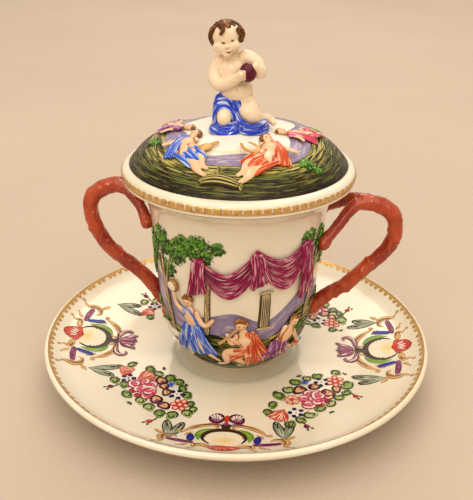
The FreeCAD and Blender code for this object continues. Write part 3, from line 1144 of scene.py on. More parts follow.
@dataclass
class Saucer:
    """The dished saucer with its foot ring and well."""

    radius: float = 75.0
    height: float = 16.0
    floor_radius: float = 45.0
    floor_height: float = 7.6
    seat_height: float = 7.0
    well_radius: float = 24.0
    wall: float = 2.7
    foot_radius: float = 41.0
    foot_width: float = 2.6
    foot_height: float = 3.4
    steps: int = 192

    def slope(self) -> np.ndarray:
        """The inner slope from the flat floor to the inside of the rim.

        Returns:
            The points, one a row.
        """
        width = self.radius - self.wall / 2 - self.floor_radius
        rise = self.height - self.floor_height
        shares = [(0.0, 0.0), (0.16, 0.03), (0.45, 0.19), (0.68, 0.385), (0.85, 0.61), (1.0, 1.0)]
        points = [(self.floor_radius + out * width, self.floor_height + up * rise) for out, up in shares]
        return spline(points, 28)

    def top(self) -> Wall:
        """The upper surface, measured outwards from the middle.

        Returns:
            The surface.
        """
        inner = [(0.0, self.seat_height), (self.well_radius, self.seat_height),
                 (self.well_radius + 1.2, self.floor_height)]
        return Wall(np.concatenate([np.array(inner), self.slope()]))

    def build(self, glaze: Material) -> bpy.types.Object:
        """Builds the saucer in place of its CAD node.

        Args:
            glaze: Its material.

        Returns:
            The piece's object.
        """
        slope = self.slope()
        lip = slope[-1]
        outer = (self.radius - self.wall / 3, lip[1] - self.wall)
        turn = [(self.radius - 0.35, lip[1] - 0.45), (self.radius, (lip[1] + outer[1]) / 2)]
        rim = spline([lip, *turn, outer], 9)
        inner = self.foot_radius - self.foot_width
        under = spline([outer, (70.9, 10.2), (64.8, 7.6), (57.4, 5.7), (49.0, 4.4),
                        (self.foot_radius + 0.9, self.foot_height + 0.3)], 18)
        foot = [(self.foot_radius, 0.9), (self.foot_radius - 0.25, 0.3), (self.foot_radius - 0.7, 0.0),
                (inner + 0.7, 0.0), (inner + 0.2, 0.3), (inner, 0.9), (inner - 0.8, self.foot_height),
                (inner - 6.0, self.foot_height), (0.0, self.foot_height)]
        well = self.well_radius
        low, high = self.seat_height, self.floor_height
        seat = [(0.0, low), (well - 0.3, low), (well + 0.5, low + 0.25), (well + 1.2, high),
                (well + 3.0, high)]
        outline = np.concatenate([np.array(seat), slope, rim[1:], under[1:], np.array(foot)])
        return finished(turned(outline, self.steps), "saucer_body", [glaze], ["saucer"])


@dataclass
class CupBody:
    """The turned body of the cup, from its foot ring to its flared lip."""

    seat: float = 7.0
    height: float = 75.3
    foot_radius: float = 17.2
    neck_radius: float = 32.2
    lip_radius: float = 41.7
    wall: float = 2.6
    floor_thickness: float = 5.0
    steps: int = 192

    def outside(self) -> Wall:
        """The outer wall, measured up from the foot.

        Returns:
            The wall.
        """
        belly = [(0.04, 0.022), (0.24, 0.064), (0.47, 0.119), (0.65, 0.186), (0.77, 0.279),
                 (0.86, 0.412), (0.94, 0.598), (1.0, 0.784)]
        flare = [(0.29, 0.916), (1.0, 0.991)]
        spans = ((self.foot_radius, self.neck_radius, belly), (self.neck_radius, self.lip_radius, flare))
        points = [(near + out * (far - near), self.seat + up * self.height)
                  for near, far, shares in spans for out, up in shares]
        return Wall(spline(points, 70))

    def build(self, glaze: Material) -> bpy.types.Object:
        """Builds the body in place of the cup's CAD node.

        Args:
            glaze: Its material.

        Returns:
            The piece's object.
        """
        wall = self.outside()
        foot = self.foot_radius
        start = [(0.0, self.seat + 1.6), (foot - 3.4, self.seat + 1.6), (foot - 3.0, self.seat + 1.2),
                 (foot - 2.9, self.seat + 0.3), (foot - 2.5, self.seat), (foot - 0.5, self.seat),
                 (foot - 0.1, self.seat + 0.3), (foot, self.seat + 1.0)]
        top = self.seat + self.height
        tip = wall.outline[-1]
        rim = spline([tip, (tip[0] - 0.15, top - 0.2), (tip[0] - 0.7, top)], 6)
        chosen = np.linspace(0.19, 0.985, 26) * wall.along[-1]
        radius, height, out, up = wall.read(chosen)
        inside = np.stack([radius - out * self.wall, height - up * self.wall], axis=1)[::-1]
        inside = inside[inside[:, 1] < top - 0.2]
        floor = self.seat + self.floor_thickness
        base = spline([inside[-1], (13.2, floor + 0.7), (8.0, floor + 0.05), (0.0, floor)], 12)
        outline = np.concatenate([np.array(start), wall.outline, rim[1:], [(38.6, top)], inside, base[1:]])
        return finished(turned(outline, self.steps), "cup_body", [glaze], ["cup"])


@dataclass
class LidDome:
    """The domed lid with its rounded flange and the collar that drops into the cup."""

    seat: float = 82.3
    radius: float = 41.9
    edge: float = 1.9
    border_radius: float = 39.1
    border_height: float = 4.1
    rise: float = 18.9
    wall: float = 2.8
    collar_radius: float = 32.7
    collar_depth: float = 4.0
    steps: int = 192

    def outside(self) -> Wall:
        """The dome, measured inwards from its border to its top.

        Returns:
            The dome's wall.
        """
        shares = [(1.0, 0.0), (0.96, 0.12), (0.89, 0.32), (0.79, 0.50), (0.66, 0.655), (0.51, 0.745),
                  (0.36, 0.815), (0.20, 0.895), (0.0, 1.0)]
        low = self.seat + self.border_height
        gain = self.rise - self.border_height
        points = [(out * self.border_radius, low + up * gain) for out, up in shares]
        return Wall(spline(points, 64))

    def flange(self) -> np.ndarray:
        """The rounded flange, from its lower edge up to the border of the dome.

        Returns:
            The points, one a row.
        """
        top = (self.radius, self.seat + self.edge)
        border = (self.border_radius, self.seat + self.border_height)
        swell = ((top[0] + border[0]) / 2 + 0.5, (top[1] + border[1]) / 2 + 0.5)
        arc = spline([top, swell, border], 9)
        return np.concatenate([[(self.radius - 0.5, self.seat), (self.radius - 0.1, self.seat + 0.25),
                                (self.radius, self.seat + 0.7)], arc])

    def build(self, glaze: Material) -> bpy.types.Object:
        """Builds the lid in place of its CAD node.

        Args:
            glaze: Its material.

        Returns:
            The piece's object.
        """
        dome = self.outside()
        opening = self.collar_radius - 2.2
        low = self.seat - self.collar_depth
        radius, height, out, up = dome.read(np.linspace(1.0, 0.28, 16) * dome.along[-1])
        under = np.stack([radius - out * self.wall, height - up * self.wall], axis=1)
        under[0, 0] = 0.0
        collar = [(opening, self.seat + 0.5), (opening, low + 0.4), (opening + 0.4, low),
                  (self.collar_radius - 0.4, low), (self.collar_radius, low + 0.4),
                  (self.collar_radius, self.seat - 0.4), (self.collar_radius + 0.4, self.seat)]
        outline = np.concatenate([under, np.array(collar), self.flange(), dome.outline[1:]])
        outline[-1, 0] = 0.0
        return finished(turned(outline, self.steps), "lid_dome", [glaze], ["lid"])


class Skyline:
    """A line round a wall: a length along the slope for each direction, repeated after a turn."""

    def __init__(self, stations: Sequence[tuple[float, float]]) -> None:
        """Keeps stations (degrees from the front, length).

        Args:
            stations: The stations.
        """
        last = [(turn - 360, length) for turn, length in stations[-2:]]
        first = [(turn + 360, length) for turn, length in stations[:2]]
        self.curve = spline(last + list(stations) + first, 721)

    def __call__(self, angle: np.ndarray | float) -> np.ndarray | float:
        """The length at an angle in radians from +X."""
        turn = (np.degrees(angle) - FRONT + 180) % 360 - 180
        return np.interp(turn, self.curve[:, 0], self.curve[:, 1])


@dataclass
class Gilding:
    """The gilt edges: the saucer's toothed band, the lid's dentils and the fine lines."""

    saucer: Saucer
    cup: CupBody
    lid: LidDome
    gold: Material
    teeth: int = 134
    dentils: int = 84

    def build(self) -> None:
        """Builds the three gilt pieces."""
        self.saucer_edge()
        self.lid_edge()
        wall = self.cup.outside()
        line = Painter(Patch(wall, FRONT), 3)
        for low, high in ((0.988, 0.999), (0.0, 0.012)):
            edges = (level_line(share * wall.along[-1]) for share in (low, high))
            line.band(*edges, Hue.TAN, across=1, lift=0.03)
        line.piece("cup_gilt_lines", Slot.GOLD, self.gold)

    def saucer_edge(self) -> None:
        """The band round the saucer's rim with its row of rounded teeth."""
        wall = self.saucer.top()
        painter = Painter(Plan(wall, 0.0), 4)
        inner, outer = (level_line(wall.length_at_radius(self.saucer.radius - inset)) for inset in (2.2, 0.9))
        painter.band(inner, outer, Hue.TAN, steps=480, across=4)
        for index in range(self.teeth):
            turn = 360 * (index + 0.3 * painter.chance.uniform(-0.5, 0.5)) / self.teeth
            painter.on(Plan(wall, turn))
            painter.blob(0.0, self.saucer.radius - 2.4, 1.2, 0.95, Hue.TAN, bulge=0.04, sides=10, rings=1)
        painter.piece("saucer_gilding", Slot.GOLD, self.gold)

    def lid_edge(self) -> None:
        """The dentils round the lid's edge, over a fine line."""
        wall = Wall(self.lid.flange()[1:])
        painter = Painter(Patch(wall, FRONT), 5)
        painter.band(level_line(0.05), lambda a: 0.72 + 0.08 * np.sin(self.dentils * a), Hue.TAN,
                     steps=504, across=2, lift=0.06)
        for index in range(self.dentils):
            painter.on(Patch(wall, 360 * index / self.dentils))
            wide = painter.chance.uniform(1.3, 1.5)
            painter.stroke([(0, 0.6), (0, 2.4)], wide, Hue.TAN, Taper.LINE, 0.1, 8, 4)
        painter.piece("lid_gilding", Slot.GOLD, self.gold)


class Crest(Enum):
    """The two forms of the purple leaf at a cartouche's foot."""

    ACANTHUS = "acanthus"
    SHELLS = "shells"


@dataclass
class Cartouche:
    """A scrolled cartouche: a shell over a cream oval, between crescents, bars and scrolls."""

    wall: Wall
    turn: float
    crest: Crest = Crest.ACANTHUS
    squash: float = 1.0
    shift: float = 0.0
    middle: float = 58.7

    def build(self, name: str) -> None:
        """Paints the cartouche as one piece.

        Args:
            name: The piece's name.
        """
        plan = Plan(self.wall, self.turn, near=40.0, squash=self.squash, shift=self.shift)
        self.painter = Painter(plan, int(self.turn) + 11)
        for side in (-1, 1):
            self.scrolls(side)
            self.bars(side)
        self.oval()
        self.shell()
        if self.crest is Crest.ACANTHUS:
            self.acanthus()
        else:
            self.shells()
        self.painter.piece(name)

    def line(self, side: int, points: Sequence[Point], *look: object, **more: object) -> None:
        """Paints a stroke, its points turned over to the left where side is -1."""
        self.painter.stroke([(side * x, y) for x, y in points], *look, **more)

    def oval(self) -> None:
        """The cream oval, its yellow heart, its brown frame and the green crescents."""
        painter, middle = self.painter, self.middle
        painter.blob(0.0, middle, 7.0, 6.5, Hue.CREAM, sides=32, rings=4, bulge=0.05)
        painter.blob(0.2, middle + 2.1, 4.4, 3.5, Hue.YELLOW, sides=24, rings=3, bulge=0.04, layer=2)
        for side in (-1, 1):
            arc = [spoke(0, middle, 8.9, way, 8.2) for way in (0.35, -0.25, -0.75, -1.1)]
            self.line(side, arc, (0.5, 1.3, 1.6, 1.3), Hue.CRESCENT, steps=16, layer=1)
        ring = [spoke(0, middle, 7.3, math.radians(128 + step * 38.5), 6.7) for step in range(8)]
        painter.stroke(ring, (0.3, 0.6, 1.0, 1.3, 1.0, 0.6, 0.3), Hue.BROWN, Taper.LINE, steps=48, layer=2)
        for turn in (185 + step * 14.2 for step in range(13)):
            spot = spoke(0, middle, 6.75, math.radians(turn), 6.15)
            painter.blob(*spot, 0.62, 0.5, Hue.BROWN, turn=turn, sides=8, rings=1, layer=2, bulge=0.03)
        stem = [(0.0, 52.6), (0.1, 50.4), (0.0, 47.6)]
        painter.stroke(stem, (1.7, 1.3, 2.5), Hue.BROWN, Taper.LINE, layer=3)

    def scrolls(self, side: int) -> None:
        """The tan scrolls and brackets of one side.

        Args:
            side: -1 on the left and 1 on the right.
        """
        for points, widths in (
            ([(14.6, 56.4), (12.2, 52.6), (8.6, 49.6), (5.0, 48.6), (2.8, 49.6), (3.0, 51.0), (4.2, 50.9)],
             (0.3, 0.7, 1.0, 1.0, 0.8, 0.6, 0.5)),
            ([(22.6, 66.4), (20.4, 64.6), (21.0, 61.6), (19.4, 59.2), (16.2, 59.4), (15.6, 60.8)],
             (0.35, 0.7, 1.0, 1.1, 0.7, 0.3)),
            ([(10.4, 68.8), (9.4, 67.2), (9.8, 65.8), (7.6, 65.2), (4.4, 65.4)], (0.3, 0.6, 0.8, 1.2, 0.8)),
            ([(14.4, 67.0), (13.0, 66.2), (11.8, 64.9)], (0.3, 0.6, 0.4)),
            ([(20.6, 58.6), (22.4, 57.0), (23.6, 55.6)], (0.5, 0.7, 0.4)),
            ([(13.4, 58.4), (12.4, 56.4), (10.6, 55.0)], (0.2, 0.5, 0.3)),
        ):
            self.line(side, points, [1.25 * width for width in widths], Hue.TAN, steps=24, layer=1)
            if len(points) > 4:
                shade = [(x - 0.5, y - 0.45) for x, y in points[1:-1]]
                self.line(side, shade, 0.22, Hue.BROWN, layer=4)
        for x, y, size in ((15.2, 55.4, 0.95), (22.9, 66.9, 0.7), (10.9, 69.2, 0.6), (15.0, 67.3, 0.45)):
            self.painter.blob(side * x, y, size, size, Hue.TAN, sides=10, layer=1)

    def bars(self, side: int) -> None:
        """The purple and the cobalt bar of one side.

        Args:
            side: -1 on the left and 1 on the right.
        """
        long = [(9.6, 63.6), (14, 63.2), (19.4, 62.0)]
        self.line(side, long, (1.0, 1.15, 1.05), Hue.PURPLE, Taper.LINE, steps=14, across=4, layer=2)
        self.line(side, [(9.8, 63.6), (12.4, 63.2)], (0.9, 0.8), Hue.PLUM, Taper.LEAF, layer=3)
        if self.crest is Crest.SHELLS:
            self.painter.blob(side * 11.2, 59.6, 1.35, 3.1, Hue.COBALT, turn=side * 6, layer=3)
        else:
            short = [(10.5, 62.8), (11.4, 59.0), (12.2, 55.6)]
            self.line(side, short, (0.9, 1.1, 1.1), Hue.COBALT, Taper.LINE, steps=12, layer=3)

    def shell(self) -> None:
        """The red shell at the outer end."""
        flat = self.crest is Crest.SHELLS
        foot, long, enamel = (65.0, 0.62, Hue.CORAL) if flat else (62.0, 1.0, Hue.RED)
        wide, widths = (0.95, (0.3, 0.6, 0.9)) if flat else (0.74, (0.35, 0.8, 1.4))
        self.painter.blob(0.0, foot + 4.6 * long, 3.8, 3.2 * long, enamel, sides=20, rings=3, layer=2)
        for step in range(7):
            lean = math.radians(90 + (step - 3) * 21)
            far = 7.6 + 0.5 * math.cos(3 * (lean - math.pi / 2))
            tip = spoke(0, foot, far * wide, lean, far * long)
            self.painter.stroke([(0.0, foot), tip], widths, enamel, Taper.PETAL, layer=3, bulge=0.15)
        for lean in () if flat else (-0.5, -0.2, 0.1, 0.45):
            points = [spoke(0, foot, reach, math.pi / 2 - lean) for reach in (2.6, 5.8)]
            self.painter.stroke(points, (0.25, 0.45, 0.3), Hue.WHITE, layer=6)

    def acanthus(self) -> None:
        """The spreading purple leaf at the inner end, with a curled arm on each side."""
        look = {"paint": Hue.ACANTHUS, "taper": Taper.ROUND, "bulge": 0.2}
        for side, reach in ((-1, 0.85), (1, 1.1)):
            arm = [(1.4, 48.0), (4.6, 48.2), (7.8, 47.0), (8.8, 44.8), (7.6, 43.4), (6.3, 44.2)]
            arm = [(x * reach, y) for x, y in arm]
            self.line(side, arm, (0.9, 1.1, 1.2, 1.1, 0.9, 0.8), steps=24, across=4, layer=2, **look)
            self.line(side, [(x, y + 0.2) for x, y in arm[1:4]], 0.3, Hue.WHITE, layer=7)
            lobe = [(0.9, 47.4), (2.6, 44.8), (3.6, 42.4), (4.9 * reach, 40.4)]
            self.line(side, lobe, (1.0, 1.3, 1.2, 1.0), steps=18, across=4, layer=3, **look)
            self.line(side, lobe[1:3], 0.3, Hue.WHITE, layer=8)
            tail = [(0.6, 47.4), (1.5, 43.6), (1.7, 40.8)]
            self.line(side, tail, (0.8, 1.1, 0.9), steps=14, layer=4, **look)
        tongue = [(0.0, 47.6), (-0.1, 44.0), (-0.3, 40.1)]
        self.painter.stroke(tongue, (0.9, 1.05, 0.8), Hue.PLUM, Taper.ROUND, steps=14, layer=5, bulge=0.25)

    def shells(self) -> None:
        """The two curled purple fans at the inner end, with a red drop between them."""
        foot = (2.4, 46.6)
        for side in (-1, 1):
            self.painter.blob(side * 3.5, 43.6, 2.9, 3.5, Hue.ACANTHUS, turn=side * -14, sides=20, rings=3,
                              layer=2)
            for step in range(5):
                tip = spoke(3.6, 43.8, 2.6, math.radians(200 + step * 30), 3.4)
                self.line(side, [foot, tip], (0.2, 0.5), Hue.PLUM, Taper.PETAL, layer=3, bulge=0.15)
                ray = [part_way(foot, tip, share) for share in (0.3, 0.9)]
                self.line(side, [(x + 0.45, y) for x, y in ray], (0.2, 0.42), Hue.WHITE, Taper.PETAL, layer=8)
            self.line(side, [(1.2, 48.2), (4.4, 47.6), (7.4, 48.8)], 0.6, Hue.ACANTHUS, layer=2, steps=14)
        drop = [(0.1, 47.4), (0.0, 44.4), (0.2, 41.2)]
        self.painter.stroke(drop, (0.6, 0.8, 1.1), Hue.RED, Taper.ROUND, layer=4)
        self.painter.blob(0.0, 47.9, 1.3, 1.2, Hue.PLUM, layer=3)


class Bloom(Enum):
    """The flowers, leaves and buds of a garland, by the names of the methods that paint them."""

    ROSE = "rose"
    TULIP = "tulip"
    ASTER = "aster"
    STAR = "star"
    PANSY = "pansy"
    BERRIES = "berries"
    SPEEDWELL = "speedwell"
    LEAF = "leaf"
    SPRIG = "sprig"
    BUD = "bud"
    DARK_BUD = "dark_bud"


@dataclass
class Flower:
    """One flower, leaf or bud, with its places and sizes counted in its own size."""

    painter: Painter
    x: float
    y: float
    turn: float
    size: float

    def out(self, reach: float, way: float, rise: Optional[float] = None) -> tuple[float, float]:
        """The point at a direction in radians from the middle, on a circle or on an oval."""
        high = None if rise is None else rise * self.size
        return spoke(self.x, self.y, reach * self.size, way, high)

    def ways(self, count: int, start: float = 0.0) -> list[float]:
        """Directions in radians, spread evenly from the flower's turn on."""
        return [math.radians(self.turn + start + step * 360 / count) for step in range(count)]

    def blob(self, spot: Point, wide: float, high: float, enamel: Paint, **more: float) -> None:
        """Paints a round mark at a spot."""
        self.painter.blob(*spot, wide * self.size, high * self.size, enamel, **more)

    def arc(self, spot: Point, wide: float, high: float, start: float, sweep: float, width: float,
            enamel: Paint) -> None:
        """Paints a part of an oval's outline.

        Args:
            spot: The oval's middle.
            wide: Half its width, along the flower's turn.
            high: Half its height.
            start: Where the line starts, in degrees from the flower's turn.
            sweep: How many degrees it covers.
            width: Half the line's width, in millimetres.
            enamel: Its paint.
        """
        tilt = math.radians(self.turn)
        points = []
        for step in range(5):
            way = math.radians(start + sweep * step / 4)
            across, up = spoke(0, 0, wide * self.size, way, high * self.size)
            points.append((spot[0] + across * math.cos(tilt) - up * math.sin(tilt),
                           spot[1] + across * math.sin(tilt) + up * math.cos(tilt)))
        self.painter.stroke(points, width, enamel, layer=5, steps=14)

    def rose(self) -> None:
        """A full pink rose of two heads, with pale and dark petal edges."""
        for dx, dy, wide, high, lean, enamel in (
            (-0.5, 4.0, 1.7, 1.5, 20, Hue.ROSE_DEEP), (3.1, 4.2, 1.6, 1.4, -30, Hue.ROSE_DEEP),
            (-2.6, -2.6, 2.2, 1.8, 30, Hue.ROSE), (1.0, -3.6, 2.3, 1.9, -10, Hue.ROSE),
            (-3.4, 0.8, 3.0, 3.0, 40, Hue.ROSE), (3.4, -0.2, 3.4, 3.3, -20, Hue.ROSE),
            (0.2, 1.6, 2.2, 2.4, 0, Hue.ROSE), (5.4, 2.2, 1.9, 2.0, -30, Hue.ROSE),
        ):
            spot = (self.x + dx * self.size, self.y + dy * self.size)
            self.blob(spot, wide, high, enamel, turn=self.turn + lean, bulge=0.12, lobes=3, depth=0.12,
                      sides=18, rings=3)
        for dx, dy, reach, start in (
            (-3.4, 0.8, 2.3, 40), (-3.4, 0.8, 1.2, 210), (3.4, -0.2, 2.6, 150), (3.4, -0.2, 1.4, 330),
            (0.2, 1.7, 1.5, 60), (-2.4, -2.7, 1.3, 230), (1.0, -3.6, 1.4, 190), (5.4, 2.2, 1.2, 10),
        ):
            spot = (self.x + dx * self.size, self.y + dy * self.size)
            self.arc(spot, reach, reach, start, 150, 0.5 * self.size, Hue.WHITE)
            self.arc(spot, reach + 0.5, reach + 0.5, start + 10, 150, 0.26 * self.size, Hue.ROSE_DEEP)

    def tulip(self) -> None:
        """A striped coral tulip, its petals spreading along its turn."""
        self.size *= 1.15
        lean = math.radians(self.turn)
        foot = self.out(-3.0, lean)
        widths = [width * self.size for width in (0.7, 1.25, 0.9)]
        for step in (-2, 2, -1, 1, 0):
            tip = spoke(*foot, 6.4 * self.size, lean + step * 0.24)
            self.painter.stroke([foot, tip], widths, Hue.CORAL, Taper.PETAL, 0.25, 14, 4, 1)
        for step in (-1.5, -0.5, 0.5, 1.5):
            points = [spoke(*foot, reach * self.size, lean + step * 0.2) for reach in (2.4, 5.8)]
            self.painter.stroke(points, 0.3 * self.size, Hue.CREAM, layer=4)

    def aster(self) -> None:
        """A round coral flower with striped petals."""
        widths = (0.5, 0.85 * self.size, 0.7 * self.size)
        for way in self.ways(9):
            points = [(self.x, self.y), self.out(3.1, way, 3.0)]
            self.painter.stroke(points, widths, Hue.CORAL, Taper.PETAL, bulge=0.2, layer=1)
        for way in self.ways(9, 20):
            self.painter.stroke([self.out(0.9, way), self.out(2.5, way)], 0.17, Hue.CREAM, layer=3)
        self.blob((self.x, self.y), 0.7, 0.7, Hue.RED, layer=4)

    def star(self) -> None:
        """A white flower with a dark blue spot on each petal."""
        middle = (self.x, self.y)
        self.blob(middle, 2.5, 2.4, Hue.WHITE, lobes=5, depth=0.25, sides=20, layer=1, turn=self.turn)
        for way in self.ways(5):
            self.blob(self.out(1.95, way, 1.9), 1.0, 0.8, Hue.NAVY, turn=math.degrees(way), sides=10, layer=2)
        self.blob(middle, 0.5, 0.5, Hue.NAVY, sides=8, layer=2)

    def pansy(self) -> None:
        """A buff and purple pansy with a dark outline."""
        heart = self.out(-0.8, math.radians(self.turn))
        self.blob((self.x, self.y), 3.0, 2.5, Hue.PANSY, turn=self.turn, lobes=3, depth=0.14, sides=18,
                  rings=3, layer=1, bulge=0.2)
        self.blob(heart, 1.1, 1.4, Hue.PLUM, turn=self.turn, layer=3)
        self.painter.blob(self.x + 0.5 * self.size, self.y, 0.35, 0.35, Hue.INK, sides=8, layer=4)

    def berries(self) -> None:
        """A cluster of pale berries ringed in red."""
        self.blob((self.x, self.y), 1.25, 1.15, Hue.BERRY, sides=14, rings=3, layer=2)
        for way in self.ways(6):
            spot, turn = self.out(2.3, way, 2.2), math.degrees(way)
            self.blob(spot, 1.3, 1.15, Hue.BERRY, turn=turn, sides=14, rings=3, layer=1)

    def speedwell(self) -> None:
        """A small blue flower."""
        self.blob((self.x, self.y), 2.0, 1.3, Hue.SKY, turn=self.turn, lobes=4, depth=0.3, layer=2)
        self.blob((self.x, self.y), 0.5, 0.4, Hue.COBALT, sides=8, layer=3)

    def leaf(self) -> None:
        """A green leaf with a dark outline on one side and a dark curl inside."""
        enamel = Hue.LEAF if self.painter.chance.random() < 0.6 else Hue.LEAF_PALE
        start = self.painter.chance.uniform(0, 120)
        middle = (self.x, self.y)
        self.size *= 1.1
        self.blob(middle, 2.3, 1.8, enamel, turn=self.turn, lobes=3, depth=0.16, sides=18, rings=3)
        self.arc(middle, 2.3, 1.8, start, 210, 0.34, Hue.LEAF_DARK)
        self.arc(middle, 1.2, 0.85, start + 150, 230, 0.3, Hue.LEAF_DARK)

    def sprig(self) -> None:
        """Three loose dark green touches."""
        for step in (-1, 0, 1):
            way = math.radians(self.turn + step * 34)
            self.painter.stroke([self.out(0.5, way), self.out(2.2, way)], 0.36 * self.size, Hue.LEAF_DARK)

    def bud(self, enamel: Optional[Paint] = None) -> None:
        """A bud on a stem, with two green tips over it.

        Args:
            enamel: Its paint, or red.
        """
        way = math.radians(self.turn)
        bend = self.out(-2.4, way)
        stem = [self.out(-5.0, way), (bend[0] + 0.4, bend[1]), (self.x, self.y)]
        self.painter.stroke(stem, 0.3, Hue.LEAF_DARK, Taper.LINE)
        self.blob((self.x, self.y), 1.5, 1.25, enamel or Hue.RED, turn=self.turn, layer=2, bulge=0.25)
        for lean in (-0.5, 0.35):
            tip = [self.out(reach, way + lean) for reach in (1.6, 3.4)]
            self.painter.stroke(tip, 0.4, Hue.LEAF_DARK, layer=1)

    def dark_bud(self) -> None:
        """A bud of the darker red."""
        self.bud(Hue.BUD)


Spots = Sequence[tuple[float, float, float, float]]


@dataclass
class Garland:
    """A spray of flowers between two striped double leaves.

    Each row of blooms is a kind and its places: across, outwards, turn and size. Each husk is its tip
    and its two rounded ends.
    """

    wall: Wall
    turn: float
    blooms: Sequence[tuple[Bloom, Spots]]
    husks: Sequence[Sequence[Point]]
    mirror: bool = False

    def build(self, name: str) -> None:
        """Paints the garland as one piece.

        Args:
            name: The piece's name.
        """
        painter = Painter(Plan(self.wall, self.turn, mirror=self.mirror), int(self.turn))
        for tip, *ends in self.husks:
            for end in ends:
                self.husk(painter, tip, end)
        for bloom, spots in self.blooms:
            for spot in spots:
                getattr(Flower(painter, *spot), bloom.value)()
        painter.piece(name)

    def husk(self, painter: Painter, tip: Point, end: Point) -> None:
        """One half of a striped grey-green double leaf.

        Args:
            painter: The painter.
            tip: The leaf's pointed tip.
            end: Its rounded end.
        """
        blade = [part_way(tip, end, share) for share in (0, 0.55, 1)]
        rib = [part_way(tip, end, share) for share in (0.6, 0.8)]
        painter.stroke(blade, (0.3, 1.5, 1.9, 1.7), Hue.SAGE, Taper.ROUND, steps=18, across=4)
        painter.stroke(rib, 0.26, Hue.INK, layer=5)
        heart = part_way(tip, end, 0.87)
        Flower(painter, *heart, 0, 1).arc(heart, 0.75, 0.75, 0, 320, 0.22, Hue.INK)


LEFT_BLOOMS = (
    (Bloom.LEAF, ((-14.6, 40.6, 60, 0.8),)),
    (Bloom.SPRIG, ((-14.8, 39.4, -110, 0.9),)),
    (Bloom.LEAF, (
        (-9.6, 51.3, 20, 0.9), (-5.2, 50.0, 40, 0.9), (0.5, 52.0, 10, 1.0), (6.6, 50.4, 35, 1.0),
        (11.8, 50.4, 20, 1.0), (17.2, 49.6, 35, 1.0), (20.4, 46.8, 70, 1.0), (22.8, 41.8, 10, 0.9),
        (22.4, 38.8, 30, 0.7), (-7.6, 36.2, -10, 0.9), (-3.4, 35.4, -20, 0.9), (2.2, 33.8, -20, 1.0),
        (6.2, 33.2, 10, 0.9), (10.2, 34.0, 20, 0.8), (14.6, 35.4, 10, 0.9), (19.4, 37.6, 30, 0.7))),
    (Bloom.SPRIG, ((-5.6, 33.0, -60, 0.9), (8.6, 32.6, -70, 0.8), (5.6, 53.4, 90, 1.0))),
    (Bloom.DARK_BUD, ((-7.0, 54.8, 88, 0.8),)),
    (Bloom.BUD, ((19.2, 55.3, 78, 0.85),)),
    (Bloom.TULIP, ((-12.8, 43.4, 110, 0.85), (-5.2, 40.6, -78, 1.0))),
    (Bloom.STAR, ((-8.2, 46.2, 90, 1.05),)),
    (Bloom.ROSE, ((-0.2, 45.2, 0, 1.0),)),
    (Bloom.PANSY, ((8.9, 45.4, 200, 1.0), (13.6, 45.3, 0, 0.95), (7.8, 40.0, 60, 0.8), (4.4, 38.6, 150, 0.75),
                   (0.9, 37.4, 190, 1.0))),
    (Bloom.SPEEDWELL, ((5.0, 36.0, 20, 0.95),)),
    (Bloom.STAR, ((11.3, 37.8, 100, 1.1),)),
    (Bloom.BERRIES, ((16.8, 40.6, 20, 1.05),)),
)
RIGHT_BLOOMS = (
    (Bloom.LEAF, (
        (-17.8, 50.4, -40, 1.0), (-13.4, 51.2, 100, 0.9), (-8.8, 51.2, 30, 1.0), (-3.4, 50.4, 0, 0.9),
        (1.6, 50.8, -30, 0.9), (6.8, 50.6, 20, 0.9), (10.8, 50.2, -10, 0.8), (14.6, 46.8, -30, 1.2),
        (17.2, 39.2, 60, 0.8), (-19.4, 40.4, 110, 0.8), (-15.0, 38.4, 140, 0.8), (-9.8, 36.0, 90, 1.0),
        (-4.0, 35.2, 10, 1.0), (1.4, 33.6, 30, 1.0), (6.4, 34.6, 20, 0.8), (10.4, 36.0, 10, 0.9))),
    (Bloom.SPRIG, ((4.6, 32.4, -80, 0.9), (-9.2, 33.8, -80, 0.8), (-2.2, 54.0, 100, 0.9),
                   (18.4, 41.4, 0, 0.8))),
    (Bloom.DARK_BUD, ((-15.2, 55.4, 105, 0.85),)),
    (Bloom.BUD, ((11.0, 54.4, 92, 0.8),)),
    (Bloom.TULIP, ((-16.6, 43.6, 160, 1.05),)),
    (Bloom.ASTER, ((-7.4, 40.2, 10, 1.0),)),
    (Bloom.STAR, ((-11.6, 46.6, 80, 1.05),)),
    (Bloom.ROSE, ((-1.4, 45.2, 8, 0.98),)),
    (Bloom.PANSY, ((5.4, 45.8, 60, 1.0), (9.6, 46.2, 120, 0.8), (-1.2, 37.8, 180, 1.05),
                   (4.4, 39.8, 40, 0.85))),
    (Bloom.SPEEDWELL, ((3.6, 35.8, 10, 1.0),)),
    (Bloom.STAR, ((8.6, 39.6, 70, 1.05),)),
    (Bloom.BERRIES, ((13.0, 42.4, 10, 1.05),)),
)
LEFT_HUSKS = (((-21.5, 55.6), (-12.6, 49.6), (-16.2, 43.0)), ((31.6, 56.4), (21.4, 49.4), (26.0, 45.6)))
RIGHT_HUSKS = (((-27.0, 56.6), (-17.2, 50.0), (-20.6, 45.4)), ((27.2, 55.0), (17.8, 49.4), (19.6, 44.4)))


